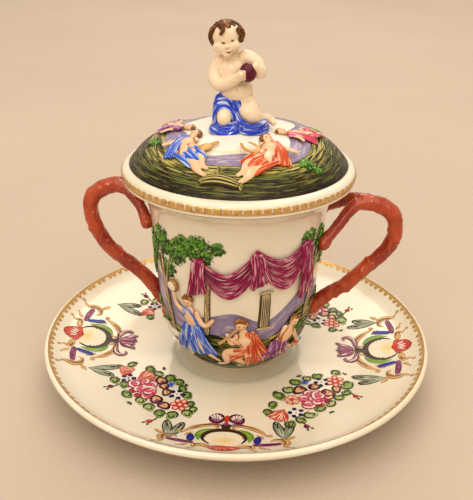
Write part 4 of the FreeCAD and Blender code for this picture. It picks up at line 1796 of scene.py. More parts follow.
@dataclass
class Handles:
    """The two coral branches, each forked into twigs that grasp the cup."""

    cup: CupBody
    voxel: float = 0.36
    knobs: float = 0.34
    tip_depth: float = 0.9
    left: Sequence[Point] = ((-3.5, 0.285, 3.3), (-1.4, 0.320, 3.1), (4.1, 0.409, 2.8), (9.6, 0.475, 2.8),
                             (15.4, 0.539, 2.75), (19.3, 0.605, 2.8), (22.2, 0.681, 2.9), (23.5, 0.760, 2.85),
                             (22.9, 0.825, 3.05), (18.4, 0.884, 3.1), (12.6, 0.905, 3.1))
    right: Sequence[Point] = ((-3.3, 0.270, 3.4), (-1.2, 0.300, 3.1), (4.8, 0.371, 2.65), (8.6, 0.406, 2.75),
                              (15.5, 0.502, 2.9), (18.9, 0.551, 2.75), (22.8, 0.610, 2.8),
                              (25.5, 0.684, 2.75), (25.9, 0.742, 2.75), (25.0, 0.796, 3.0),
                              (18.8, 0.858, 3.1), (12.9, 0.870, 3.2))
    left_twigs: Sequence[Sequence[Point]] = (
        ((15.5, 0.0, 0.897, 2.7), (10.6, -1.4, 0.903, 2.6), (5.6, -3.9, 0.866, 2.2), (2.5, -6.3, 0.813, 2.1)),
        ((15.5, 0.0, 0.897, 2.7), (10.0, 3.0, 0.900, 2.5), (5.2, 6.4, 0.862, 2.1), (2.2, 8.6, 0.820, 1.9)))
    right_twigs: Sequence[Sequence[Point]] = (
        ((16.0, 0.0, 0.866, 2.8), (11.4, -1.3, 0.864, 2.6), (7.0, -4.2, 0.815, 2.2), (2.9, -7.6, 0.755, 2.1)),
        ((16.0, 0.0, 0.866, 2.8), (9.6, 3.9, 0.862, 2.4), (4.6, 7.4, 0.818, 2.0), (1.8, 9.0, 0.795, 1.9)))
    left_tips: Sequence[Point] = ((-8.4, 0.763, 2.5), (9.6, 0.792, 2.2))
    right_tips: Sequence[Point] = ((-10.4, 0.705, 2.4), (9.8, 0.775, 2.1))

    def build(self, coral: Material) -> None:
        """Builds both branches."""
        self.branch("cup_handle_left", -1, self.left, self.left_twigs, self.left_tips, coral)
        self.branch("cup_handle_right", 1, self.right, self.right_twigs, self.right_tips, coral)

    def branch(self, name: str, side: int, stem: Sequence[Point], twigs: Sequence[Sequence[Point]],
               tips: Sequence[Point], coral: Material) -> None:
        """Builds one branch.

        Args:
            name: The piece's name.
            side: -1 on the left and 1 on the right.
            stem: Stations (reach, share of the height, half thickness) of the stem.
            twigs: Stations (reach, distance to the back, share of the height, half thickness).
            tips: The knobs on the cup: distance to the back, share of the height, half thickness.
            coral: Its material.
        """
        cup, wall = self.cup, self.cup.outside()

        def spot(reach: float, depth: float, share: float, radius: float) -> Point:
            """A station in model coordinates."""
            return (side * (cup.neck_radius + reach), depth, cup.seat + share * cup.height, radius)

        clay = Clay()
        clay.roll([spot(reach, 0.0, share, radius) for reach, share, radius in stem], 20)
        for twig, (back, share, radius) in zip(twigs, tips):
            height = cup.seat + share * cup.height
            from_axis = wall.radius_at(height) + radius - self.tip_depth
            tip = (side * math.sqrt(from_axis**2 - back**2), back, height, radius)
            clay.roll([spot(*station) for station in twig] + [tip], 16)
            clay.ball(tip[:3], (radius * 1.02, radius * 1.15, radius * 1.1))
        chance = random.Random(side + 8)
        for reach, share, radius in stem[2:-1]:
            for _ in range(2):
                around = chance.uniform(0, 2 * math.pi)
                knob = spot(reach + radius * 0.62 * math.cos(around), radius * 0.62 * math.sin(around),
                            share + chance.uniform(-0.012, 0.012), radius)
                clay.ball(knob[:3], radius * chance.uniform(0.5, 0.62))
        solid = clay.fuse(self.voxel, 5)
        bm = bmesh.new()
        bm.from_mesh(solid.mesh)
        bm.normal_update()
        for vert in bm.verts:
            grain = Vector((vert.co.x, vert.co.y, vert.co.z * 0.6))
            push = noise.noise(grain * 0.42) * self.knobs + noise.noise(grain * 1.3) * self.knobs * 0.35
            vert.co += vert.normal * push
            radius = math.hypot(vert.co.x, vert.co.y)
            inner = wall.radius_at(vert.co.z) - 0.5 * cup.wall
            if radius < inner:
                vert.co.x *= inner / radius
                vert.co.y *= inner / radius
        finished(bm, name, [coral])


@dataclass(frozen=True)
class Person:
    """A small relief figure: its joints and its clothes, in millimetres from its base.

    arms run from the elbow to the hand and legs from the knee over the ankle to the toes. Each cloth
    is a paint, the line that it hangs from, the line that it reaches and how many folds it has.
    """

    head: Point
    chest: Point
    hips: Point
    arms: Sequence[Sequence[Point]]
    legs: Sequence[Sequence[Point]]
    cloths: Sequence[tuple[Paint, Sequence[Point], Sequence[Point], int]] = ()
    gaze: float = 0.0
    flat: float = 0.6
    voxel: float = 0.22

    def build(self, painter: Painter) -> None:
        """Adds the figure in the painter's present frame.

        Args:
            painter: The painter.
        """
        chest, hips, head = (Vector(point) for point in (self.chest, self.hips, self.head))
        spine = (chest - hips).normalized()
        side = Vector((spine.y, -spine.x))
        clay = Clay()
        clay.roll([(*hips, 0.9, 2.3), (*hips.lerp(chest, 0.5), 0.9, 1.95), (*chest, 1.0, 2.4),
                   (*chest.lerp(head, 0.55), 1.2, 1.0), (*head, 1.4, 0.9)], 16)
        clay.ball((*head, 1.5), (1.6, 1.95, 1.6), (0, 0, self.gaze))
        for way, (elbow, hand) in zip((-1, 1), self.arms):
            shoulder = chest + side * way * 2.1 + spine * 1.1
            clay.roll([(*shoulder, 1.2, 1.1), (*elbow, 1.8, 0.85), (*hand, 2.2, 0.6)], 10)
        for way, (knee, ankle, toe) in zip((-1, 1), self.legs):
            thigh, calf = hips + side * way * 1.1, Vector(knee).lerp(Vector(ankle), 0.35)
            clay.roll([(*thigh, 1.0, 1.8), (*knee, 1.5, 1.25), (*calf, 1.4, 1.2), (*ankle, 1.1, 0.65),
                       (*toe, 1.0, 0.5)], 12)
        body = painter.model(clay, Hue.FLESH, self.voxel, 2, self.flat)
        lean = math.radians(self.gaze)
        up, across = Vector((-math.sin(lean), math.cos(lean))), Vector((math.cos(lean), math.sin(lean)))
        clay = Clay().ball((*(head + up * 0.8), 1.2), (1.8, 1.5, 1.7), (0, 0, self.gaze))
        for step in (-1.0, -0.5, 0.5, 1.0):
            clay.ball((*(head + across * step * 1.5 + up * (1.7 - abs(step))), 1.6), 0.75)
        painter.model(clay, Hue.HAIR, self.voxel, 1, self.flat)
        for right, down, wide, tone in ((-0.55, 0.1, 0.24, Hue.INK), (0.55, 0.1, 0.24, Hue.INK),
                                        (0.0, 1.05, 0.32, Hue.LIPS)):
            spot = head + across * right - up * down
            painter.decal(body, (*spot, 4), wide, 0.15, tone, flat=self.flat, raised=0.06)
        for tone, start, end, count in self.cloths:
            painter.model(folds(start, end, count), tone, self.voxel, 1, self.flat)

    def dressed(self, tone: Paint, voxel: float = 0.22) -> "Person":
        """The same figure in clothes of another paint, fused on cells of its own."""
        return replace(self, cloths=[(tone, *cloth[1:]) for cloth in self.cloths], voxel=voxel)


def folds(start: Sequence[Point], end: Sequence[Point], count: int) -> Clay:
    """A cloth of rolls that run side by side.

    Args:
        start: The two or three points of the line that it hangs from.
        end: The points of the line that it reaches.
        count: How many rolls it has.

    Returns:
        The clay.
    """
    clay = Clay()
    sway = 0.6
    first, last = (spline([(*point, 0.0) for point in line], count)[:, :2] for line in (start, end))
    thick = 0.72 * max(float(np.linalg.norm(line[-1] - line[0])) for line in (first, last)) / count + 0.12
    for index, (top, low) in enumerate(zip(first, last)):
        middle = (top + low) / 2 + (sway * math.sin(0.9 * index + 0.6), 0.0)
        out = 1.7 + 0.35 * math.cos(3.1 * index)
        clay.roll([(*top, out, thick), (*middle, out + 0.3, thick), (*low, out - 0.4, thick)], 10)
    return clay


@dataclass
class Landscape:
    """Ground, hills, trees and beasts that a picture on a wall is put together from.

    Every turn is a direction in degrees from the front, and every length lies along the wall's slope.
    """

    wall: Wall
    seed: int

    def __post_init__(self) -> None:
        """Starts the first piece."""
        self.painter = Painter(Patch(self.wall, FRONT), self.seed)

    def at(self, turn: float, length: float = 0.0, lean: float = 0.0, size: float = 1.0,
           mirror: bool = False) -> Painter:
        """The painter, moved to a place, leant, scaled and turned over as asked."""
        return self.painter.on(Patch(self.wall, FRONT + turn, length, lean, size, mirror))

    def piece(self, name: str) -> None:
        """Finishes the present piece and starts the next one.

        Args:
            name: The finished piece's name.
        """
        self.painter.piece(name)
        self.seed += 1
        self.__post_init__()

    def grounds(self, low: float, ground: Skyline, hills: Skyline) -> None:
        """The lilac hills and the dark ground, all round.

        Args:
            low: The ground's lower edge.
            ground: Its upper edge.
            hills: The hills' upper edge.
        """
        self.painter.band(lambda a: ground(a) - 0.5, hills, Hue.LILAC, across=10, lift=0.04)
        self.painter.band(level_line(low), ground, Hue.EARTH, across=14, lift=0.09)

    def grass(self, low: float, ground: Skyline, count: int, longest: float) -> None:
        """The brush strokes of the ground, dark below and lighter and greener above.

        Args:
            low: The ground's lower edge.
            ground: Its upper edge.
            count: How many strokes it has.
            longest: The length of the longest ones.
        """
        chance = self.painter.chance
        tones = (Hue.SOIL, Hue.EARTH, Hue.SOIL, Hue.OLIVE, Hue.LAWN, Hue.STRAW, Hue.STRAW)
        for _ in range(count):
            turn, share = chance.uniform(-180, 180), chance.random()
            top, left, right = (float(ground(math.radians(FRONT + turn + step))) for step in (0, -4, 4))
            length = low + (top - low) * share
            radius = float(self.wall.read(np.array(length))[0])
            lean = (right - left) / (radius * 0.14) * share
            half = chance.uniform(0.25, 0.5) * longest * (0.5 + 0.5 * radius / 38)
            tone = tones[min(int(chance.random() * 3.4 + share * 4.2), 6)]
            curve = [(-half, -half * lean), (0, chance.uniform(-0.3, 0.3)), (half, half * lean)]
            self.at(turn, length).stroke(curve, chance.uniform(0.1, 0.34), tone, Taper.LEAF, 0.03, 8, layer=2)

    def leafage(self, *clusters: Sequence[float]) -> None:
        """Clusters of foliage of many small touches, dark below and round their edges.

        Args:
            clusters: The turn, length, half width and half height of each.
        """
        for turn, length, wide, high in clusters:
            painter = self.at(turn, length)
            chance = painter.chance
            painter.blob(0, 0, wide * 0.85, high * 0.85, Hue.FOREST, 0, 0.5, 6, 0.25, 26, 3, 2)
            for _ in range(int(2.6 * wide * high) + 12):
                way, reach = chance.uniform(0, 2 * math.pi), math.sqrt(chance.random())
                x, y = spoke(0, 0, wide * reach, way, high * reach)
                shade = chance.random() + 0.5 * y / high - 0.25 * (reach > 0.85)
                tone = Hue.FOREST if shade < 0.2 else (Hue.LEAF_PALE if shade > 1.12 else Hue.GRASS)
                size, lean = chance.uniform(0.5, 0.95), chance.uniform(0, 180)
                painter.blob(x, y, size, 0.55, tone, lean, 0.3, sides=8, layer=3 + 7 * (1 - reach))
            for _ in range(int(2.0 * wide * high) + 8):
                way, reach = chance.uniform(0, 2 * math.pi), chance.uniform(0.5, 1.08)
                x, y = spoke(0, 0, wide * reach, way, high * reach)
                layer = 12.0 * (1.1 - reach) + 4
                painter.blob(x, y, 0.27, 0.2, Hue.INK, 0, 0.15, sides=6, rings=1, layer=layer)

    def limb(self, turn: float, points: Sequence[Point], widths: Sequence[float]) -> None:
        """A trunk or a branch with hatched bark.

        Args:
            turn: Its direction.
            points: Points (across, length) that it goes through.
            widths: Its half widths from its start to its end.
        """
        painter = self.at(turn)
        painter.stroke(points, widths, Hue.BARK, Taper.LINE, 0.7, 26, 6, 2)
        path = spline(points, 30)
        heading = np.gradient(path, axis=0)
        heading /= np.linalg.norm(heading, axis=1)[:, None]
        for index in range(2, 28, 2):
            (x, y), (dx, dy) = path[index], heading[index]
            half = float(np.interp(index / 29, np.linspace(0, 1, len(widths)), widths))
            start = (x + dy * half, y - dx * half)
            end = (x + dy * half * 0.3 + dx * 0.3, y - dx * half * 0.3 + dy * 0.3)
            painter.stroke([start, end], 0.13, Hue.INK, bulge=0.03, steps=4, layer=12)

    def tree(self, turn: float, root: float, height: float, lean: float, crowns: Sequence[Point]) -> None:
        """A tree with two boughs and its crowns.

        Args:
            turn: Its direction.
            root: The length where its trunk starts.
            height: How far it reaches up.
            lean: How far its top lies to the right.
            crowns: Its clusters of leaves: across, length, half width and half height.
        """
        top = root + height
        self.limb(turn, [(0, root), (lean * 0.3, root + height * 0.35), (lean * 0.5, root + height * 0.6),
                         (lean, top)], (1.6, 1.2, 1.0, 0.5))
        fork = (lean * 0.42, root + height * 0.5)
        self.limb(turn, [fork, (fork[0] - lean * 0.5, fork[1] + height * 0.22),
                         (fork[0] - lean * 1.2, top - 2)], (0.9, 0.7, 0.4))
        self.limb(turn, [(lean * 0.6, root + height * 0.66), (lean * 1.3, root + height * 0.8),
                         (lean * 1.7, top - 3)], (0.7, 0.5, 0.3))
        radius = float(self.wall.read(np.array(top))[0])
        self.leafage(*((turn + math.degrees(x / radius), *cluster) for x, *cluster in crowns))

    def column(self, turn: float, root: float, height: float) -> None:
        """A broken column with its flutes.

        Args:
            turn: Its direction.
            root: The length where it starts.
            height: How far it reaches up.
        """
        painter = self.at(turn, root)
        shaft = [(0, 0), (0.1, height * 0.5), (0, height)]
        painter.stroke(shaft, (2.5, 2.1, 2.2), Hue.STONE, Taper.LINE, 1.0, 20, 8, 2)
        for share in (-0.75, -0.45, -0.15, 0.15, 0.45, 0.75):
            line = [(2.2 * share, 0.8), (2.0 * share, height * 0.5),
                    (2.1 * share, height - 0.8 - 2 * abs(share))]
            painter.stroke(line, 0.14, Hue.INK, layer=3 + 20 * (1 - share * share))
        for length, wide in ((height - 0.2, 2.8), (0.6, 3.2)):
            painter.stroke([(-wide, length), (wide, length + 0.3)], 0.6, Hue.STONE, Taper.LINE, 0.5, layer=16)

    def goat(self, turn: float, length: float, mirror: bool = False, size: float = 1.0) -> None:
        """A small standing goat.

        Args:
            turn: Its direction.
            length: Where its hooves stand.
            mirror: Whether it looks to the left.
            size: Its size.
        """
        painter = self.at(turn, length, 0, size, mirror)
        clay = Clay().roll([(-2.6, 4.0, 1.0, 1.35), (0, 4.1, 1.1, 1.5), (2.2, 4.5, 1.0, 1.3),
                            (3.6, 6.8, 1.3, 0.7), (5.2, 6.2, 1.4, 0.45)], 12)
        for x in (-3.0, -2.0, 1.8, 2.8):
            clay.roll([(x, 3.4, 0.9, 0.6), (x * 1.06, 1.6, 0.8, 0.36), (x, 0.1, 0.7, 0.34)], 8)
        clay.roll([(3.4, 7.5, 1.5, 0.26), (2.6, 8.8, 1.5, 0.2), (1.8, 8.6, 1.4, 0.14)], 8)
        clay.roll([(-3.8, 4.6, 0.9, 0.4), (-4.6, 5.4, 0.8, 0.3)], 8)
        goat = painter.model(clay, Hue.FLEECE, 0.27, 1, 0.7)
        painter.decal(goat, (4.0, 6.9, 4), 0.18, 0.16, Hue.INK, flat=0.7)


DANCER = Person(
    (-0.8, 23.8), (-0.2, 18.4), (0.3, 12.2), (((-4.6, 20.6), (-6.0, 25.0)), ((4.4, 16.2), (7.2, 19.0))),
    (((-1.8, 6.6), (-2.8, 1.3), (-4.4, 0.3)), ((3.0, 6.8), (5.6, 2.8), (6.9, 1.2))),
    ((Hue.AZURE, ((-2.4, 14.4), (0.2, 15.4), (2.6, 14.2)), ((-6.4, 4.6), (-0.4, 4.2), (6.6, 5.6)), 11),
     (Hue.AZURE, ((-2.4, 20.4), (-0.6, 21.0)), ((1.2, 14.6), (2.8, 15.4)), 3)), gaze=8)
PIPER = Person(
    (-0.6, 18.2), (0.6, 13.0), (1.5, 7.2), (((-3.0, 11.4), (-4.4, 14.8)), ((2.0, 10.8), (-3.2, 13.2))),
    (((-4.6, 7.2), (-4.6, 1.6), (-6.6, 0.6)), ((-1.6, 5.4), (1.2, 1.2), (-0.8, 0.1))),
    ((Hue.ORANGE, ((3.6, 10.6), (1.6, 8.4), (0.4, 7.0)), ((-3.4, 8.2), (-3.6, 6.0), (-2.6, 3.6)), 6),
     (Hue.ORANGE, ((1.0, 15.0), (3.4, 14.2)), ((1.6, 1.8), (5.6, 2.6), (8.0, 4.6)), 7)), gaze=-12)
GATHERER = Person(
    (5.0, 12.8), (2.8, 9.0), (-0.2, 4.8), (((0.8, 5.8), (4.6, 3.2)), ((5.8, 7.4), (7.4, 4.2))),
    (((3.2, 2.2), (-2.6, 0.9), (-4.6, 0.5)), ((-0.6, 1.8), (-3.6, 1.6), (-5.4, 1.2))),
    ((Hue.VIOLET, ((-2.4, 6.6), (2.2, 6.2)), ((-5.2, 1.0), (-0.6, 0.3), (4.2, 1.0)), 8),), gaze=-24)
RECLINER = Person(
    (5.6, 13.4), (3.6, 9.2), (0.0, 5.2), (((1.4, 7.6), (-1.6, 9.0)), ((6.6, 6.6), (8.6, 3.6))),
    (((-4.6, 3.2), (-9.2, 0.8), (-11.0, 0.4)), ((-4.2, 6.6), (-8.4, 3.0), (-10.0, 2.4))),
    ((Hue.ORANGE, ((-1.0, 8.0), (1.2, 5.8), (1.6, 3.2)), ((-6.6, 5.8), (-6.2, 3.4), (-5.6, 1.6)), 7),
     (Hue.ORANGE, ((5.6, 10.8), (7.0, 9.2)), ((1.8, 2.8), (4.6, 1.2)), 4)), gaze=16)


@dataclass
class CupPicture:
    """The pastoral picture round the cup."""

    wall: Wall
    ground: Skyline = Skyline(((-160, 19), (-130, 22), (-100, 26), (-76, 31), (-62, 28), (-46, 24),
                               (-30, 23.5), (-14, 25), (4, 23.5), (24, 23), (38, 26), (47, 31), (60, 33),
                               (74, 32), (92, 27), (112, 22), (135, 20), (165, 23)))
    hills: Skyline = Skyline(((-165, 32), (-135, 39), (-105, 34), (-80, 41), (-60, 43), (-40, 36), (-20, 32),
                              (4, 35), (22, 31), (40, 36), (60, 42), (85, 37), (115, 40), (150, 33)))

    def build(self) -> None:
        """Models and paints the picture's pieces in order."""
        self.land = Landscape(self.wall, 21)
        self.land.grounds(3.6, self.ground, self.hills)
        shore = level_line(2.0)
        self.land.painter.band(shore, lambda a: 5.2 + 2.8 * np.sin(a + 2.4), Hue.SEAWEED, lift=0.24)
        self.land.piece("cup_ground")
        self.land.grass(4.5, self.ground, 1300, 9.0)
        self.land.piece("cup_grass")
        self.trees()
        self.cloths()
        self.people()
        for turn, length, mirror, size in ((-50, 15.5, True, 1), (-47, 11.0, False, 0.8), (125, 15, False, 1),
                                           (140, 13.5, True, 1), (-125, 16, False, 1), (-108, 14.5, True, 1),
                                           (170, 14, False, 1)):
            self.land.goat(turn, length, mirror, size)
        self.land.piece("cup_flock")

    def trees(self) -> None:
        """The trees, the broken column and the bushes."""
        land = self.land
        land.tree(-48, 21, 33, -3.0, ((-10, 53, 4.8, 6.0), (-2, 58, 5.4, 5.4), (6, 56, 4.8, 5.0),
                                      (13, 58.5, 3.8, 3.6), (-13, 44, 3.0, 4.2), (1.5, 48, 3.8, 3.2),
                                      (18.5, 57, 2.4, 2.4)))
        land.tree(-17, 24, 30, 2.5, ((-7.5, 60, 4.0, 3.6), (-1, 62, 3.8, 3.0), (5, 60.5, 2.8, 2.4)))
        land.column(23, 28, 16)
        land.tree(60, 27, 28, 3.0, ((6, 57, 4.8, 5.6), (-3, 60.5, 4.0, 3.6), (11, 50, 4.2, 5.2),
                                    (2, 49, 2.8, 2.6)))
        land.tree(150, 14, 34, 4.0, ((-7, 52, 5.6, 6.0), (2, 57, 6.0, 5.4), (9, 50, 5.0, 5.6)))
        land.tree(-140, 14, 32, -4.0, ((-7, 49, 5.0, 5.6), (2, 53, 5.6, 5.4), (8, 47, 4.0, 4.6)))
        land.leafage((-74, 27, 3.2, 3.0), (-60, 22, 2.6, 2.2), (56, 24, 3.0, 2.2), (44, 18, 2.2, 1.6),
                     (84, 31, 3.0, 2.4), (112, 22, 4.0, 3.0), (176, 20, 3.8, 2.8), (-112, 23, 4.0, 3.2))
        land.piece("cup_trees")

    def cloths(self) -> None:
        """The magenta cloths, hung in two swags with three tails."""
        look = {"paint": Hue.MAGENTA, "voxel": 0.24, "smooth": 2, "flat": 0.75}
        for start, end in (
            (((-11.0, 56.0), (-2.0, 51.0), (9.0, 59.5)), ((-9.5, 50.0), (-0.5, 43.0), (9.0, 53.0))),
            (((9.0, 60.5), (18.5, 55.5), (28.5, 60.5)), ((10.0, 53.0), (19.5, 45.0), (28.0, 53.0))),
        ):
            cloth = Clay()
            for index in range(8):
                first, middle, last = (part_way(a, b, index / 7) for a, b in zip(start, end))
                out = 1.5 + 0.3 * math.sin(3 * index)
                cloth.roll([(*first, 0.9, 0.62), (*middle, out, 0.92), (*last, 0.9, 0.62)], 10)
            self.land.at(0).model(cloth, **look)
        for x, y, reach, lean in ((-10.6, 53.5, 12.0, -1.2), (9.2, 57.0, 10.5, 1.2), (28.4, 57.5, 19.0, 1.0)):
            top = ((x - 1.6, y + 1.5), (x + 1.6, y + 1.5))
            foot = ((x - 2.6 + lean, y - reach), (x + 3.0 + lean, y - reach + 2.5))
            tail = folds(top, foot, 5).ball((x, y + 1.6, 1.4), (2.3, 1.8, 1.6))
            self.land.at(0).model(tail, **look)
        self.land.piece("cup_cloth")

    def people(self) -> None:
        """The dancer, the piper on a rock and the gatherer with a basket."""
        land = self.land
        DANCER.build(land.at(-27, 10.5, 0, 1.16))
        land.painter.blob(-6.6, 27.2, 2.3, 2.3, Hue.TAN, 0, 0.9, sides=20, rings=4, layer=12)
        land.painter.blob(-6.6, 27.2, 1.6, 1.6, Hue.CREAM, 0, 0.4, sides=16, rings=2, layer=30)
        land.piece("cup_dancer")
        rock = Clay().ball((0, 2.56, 0.2), (5.4, 4.48, 1.7)).ball((1.89, 4.48, 0.4), (2.7, 2.88, 1.5))
        land.at(11, 10.5).model(rock, Hue.LAWN, 0.3, 2, 0.8)
        PIPER.build(land.at(9, 9.0, 0, 1.22))
        pipe = Clay().roll([(-1.6, 17.2, 2.4, 0.42), (-3.8, 14.6, 2.8, 0.42), (-6.4, 11.6, 2.6, 0.6)], 8)
        land.painter.model(pipe, Hue.TAN, 0.16, 1, 0.6)
        land.piece("cup_piper")
        GATHERER.build(land.at(36, 13.0, 0, 1.2))
        land.painter.model(Clay().ball((8.6, 1.6, 1.0), (2.4, 1.7, 1.4)), Hue.TAN, 0.2, 1, 0.7)
        for x, y, tone in ((7.4, 3.2, Hue.RED), (8.6, 3.6, Hue.YELLOW), (9.8, 3.1, Hue.SKY),
                           (8.2, 2.6, Hue.ROSE)):
            land.painter.blob(x, y, 0.8, 0.7, tone, 0, 0.5, sides=10, layer=20)
        land.piece("cup_gatherer")


@dataclass
class LidPicture:
    """The pastoral picture round the lid."""

    wall: Wall
    sky_gap: float = 3.0
    ground: Skyline = Skyline(((-160, 13), (-120, 15), (-85, 17), (-60, 14.5), (-30, 12), (0, 12.5),
                               (30, 11.5), (60, 14), (90, 17.5), (120, 14), (155, 16)))
    hills: Skyline = Skyline(((-165, 19), (-130, 23), (-95, 21), (-70, 24), (-45, 19), (-15, 17), (10, 19),
                              (35, 17), (65, 23), (95, 25), (125, 20), (160, 24)))

    def build(self) -> None:
        """Models and paints the picture's pieces in order."""
        self.land = Landscape(self.wall, 51)
        top = level_line(float(self.wall.along[-1]) - self.sky_gap)
        self.land.painter.band(lambda a: self.hills(a) - 0.8, top, Hue.SKY_WHITE, 180, 6, 0.02)
        self.land.grounds(0.15, self.ground, self.hills)
        self.land.piece("lid_ground")
        self.land.grass(0.8, self.ground, 1100, 12.0)
        self.land.piece("lid_grass")
        self.growth()
        self.people()

    def growth(self) -> None:
        """The bushes and the fallen log."""
        self.land.leafage((48, 9.5, 3.0, 2.4), (53, 6.5, 2.0, 1.6), (-75, 12, 3.0, 2.4), (120, 10, 3.4, 2.6),
                          (165, 12, 3.6, 2.8), (-130, 10, 3.4, 2.6))
        log = self.land.at(-5)
        for points, widths in (([(-0.6, 7.4), (-1.4, 9.6), (-1.0, 11.4)], (0.9, 0.7, 0.5)),
                               ([(-7.0, 5.0), (-3.0, 6.5), (2.0, 6.3), (6.4, 4.8)], (1.5, 2.1, 2.0, 1.8))):
            log.stroke(points, widths, Hue.TIMBER, Taper.LINE, 1.3, 30, 10, 3)
        for index, shift in enumerate((-1.4, -0.9, -0.4, 0.1, 0.5, 1.0, 1.5)):
            grain = [(-6.2, 5.2 + 0.6 * shift), (-3.0, 6.5 + shift), (2.0, 6.3 + shift),
                     (6.0, 5.0 + 0.8 * shift)]
            tone = (Hue.BROWN, Hue.STRAW)[index % 2]
            log.stroke(grain, 0.27, tone, layer=32 - 6.5 * shift * shift)
        log.blob(6.5, 4.8, 0.6, 1.6, Hue.STRAW, 14, 0.3, layer=16)
        log.blob(6.6, 4.8, 0.35, 1.1, Hue.TIMBER, 14, 0.2, layer=22)
        log.blob(-2.6, 6.8, 0.6, 0.36, Hue.BROWN, 10, 0.1, layer=30)
        self.land.piece("lid_growth")

    def people(self) -> None:
        """The lyre player, the one with a jug and the three far figures."""
        land = self.land
        RECLINER.build(land.at(26, 8.0, 12, 1.25))
        lyre = Clay().roll([(-2.8, 12.6, 2.2, 0.4), (-3.6, 9.8, 2.4, 0.55), (-1.8, 8.0, 2.4, 0.7),
                            (0.0, 9.8, 2.4, 0.55), (-0.4, 12.8, 2.2, 0.4)], 8)
        land.painter.model(lyre, Hue.TAN, 0.16, 1, 0.6)
        land.piece("lid_lyre_player")
        RECLINER.dressed(Hue.AZURE).build(land.at(-36, 8.5, -6, 1.2, True))
        jug = Clay().ball((-3.4, 9.6, 1.6), (1.6, 1.9, 1.5))
        jug.roll([(-3.6, 11.2, 1.6, 0.7), (-3.9, 12.6, 1.6, 0.8)], 10)
        land.painter.model(jug, Hue.TAN, 0.18, 1, 0.6)
        land.piece("lid_reclining_figure")
        for turn, length, lean, tone, mirror in (
            (-100, 12, 0, Hue.VIOLET, False), (84, 13, -10, Hue.ROSE, True), (180, 11, 0, Hue.AZURE, False),
        ):
            RECLINER.dressed(tone, 0.3).build(land.at(turn, length, lean, 1.0, mirror))
        land.piece("lid_far_figures")


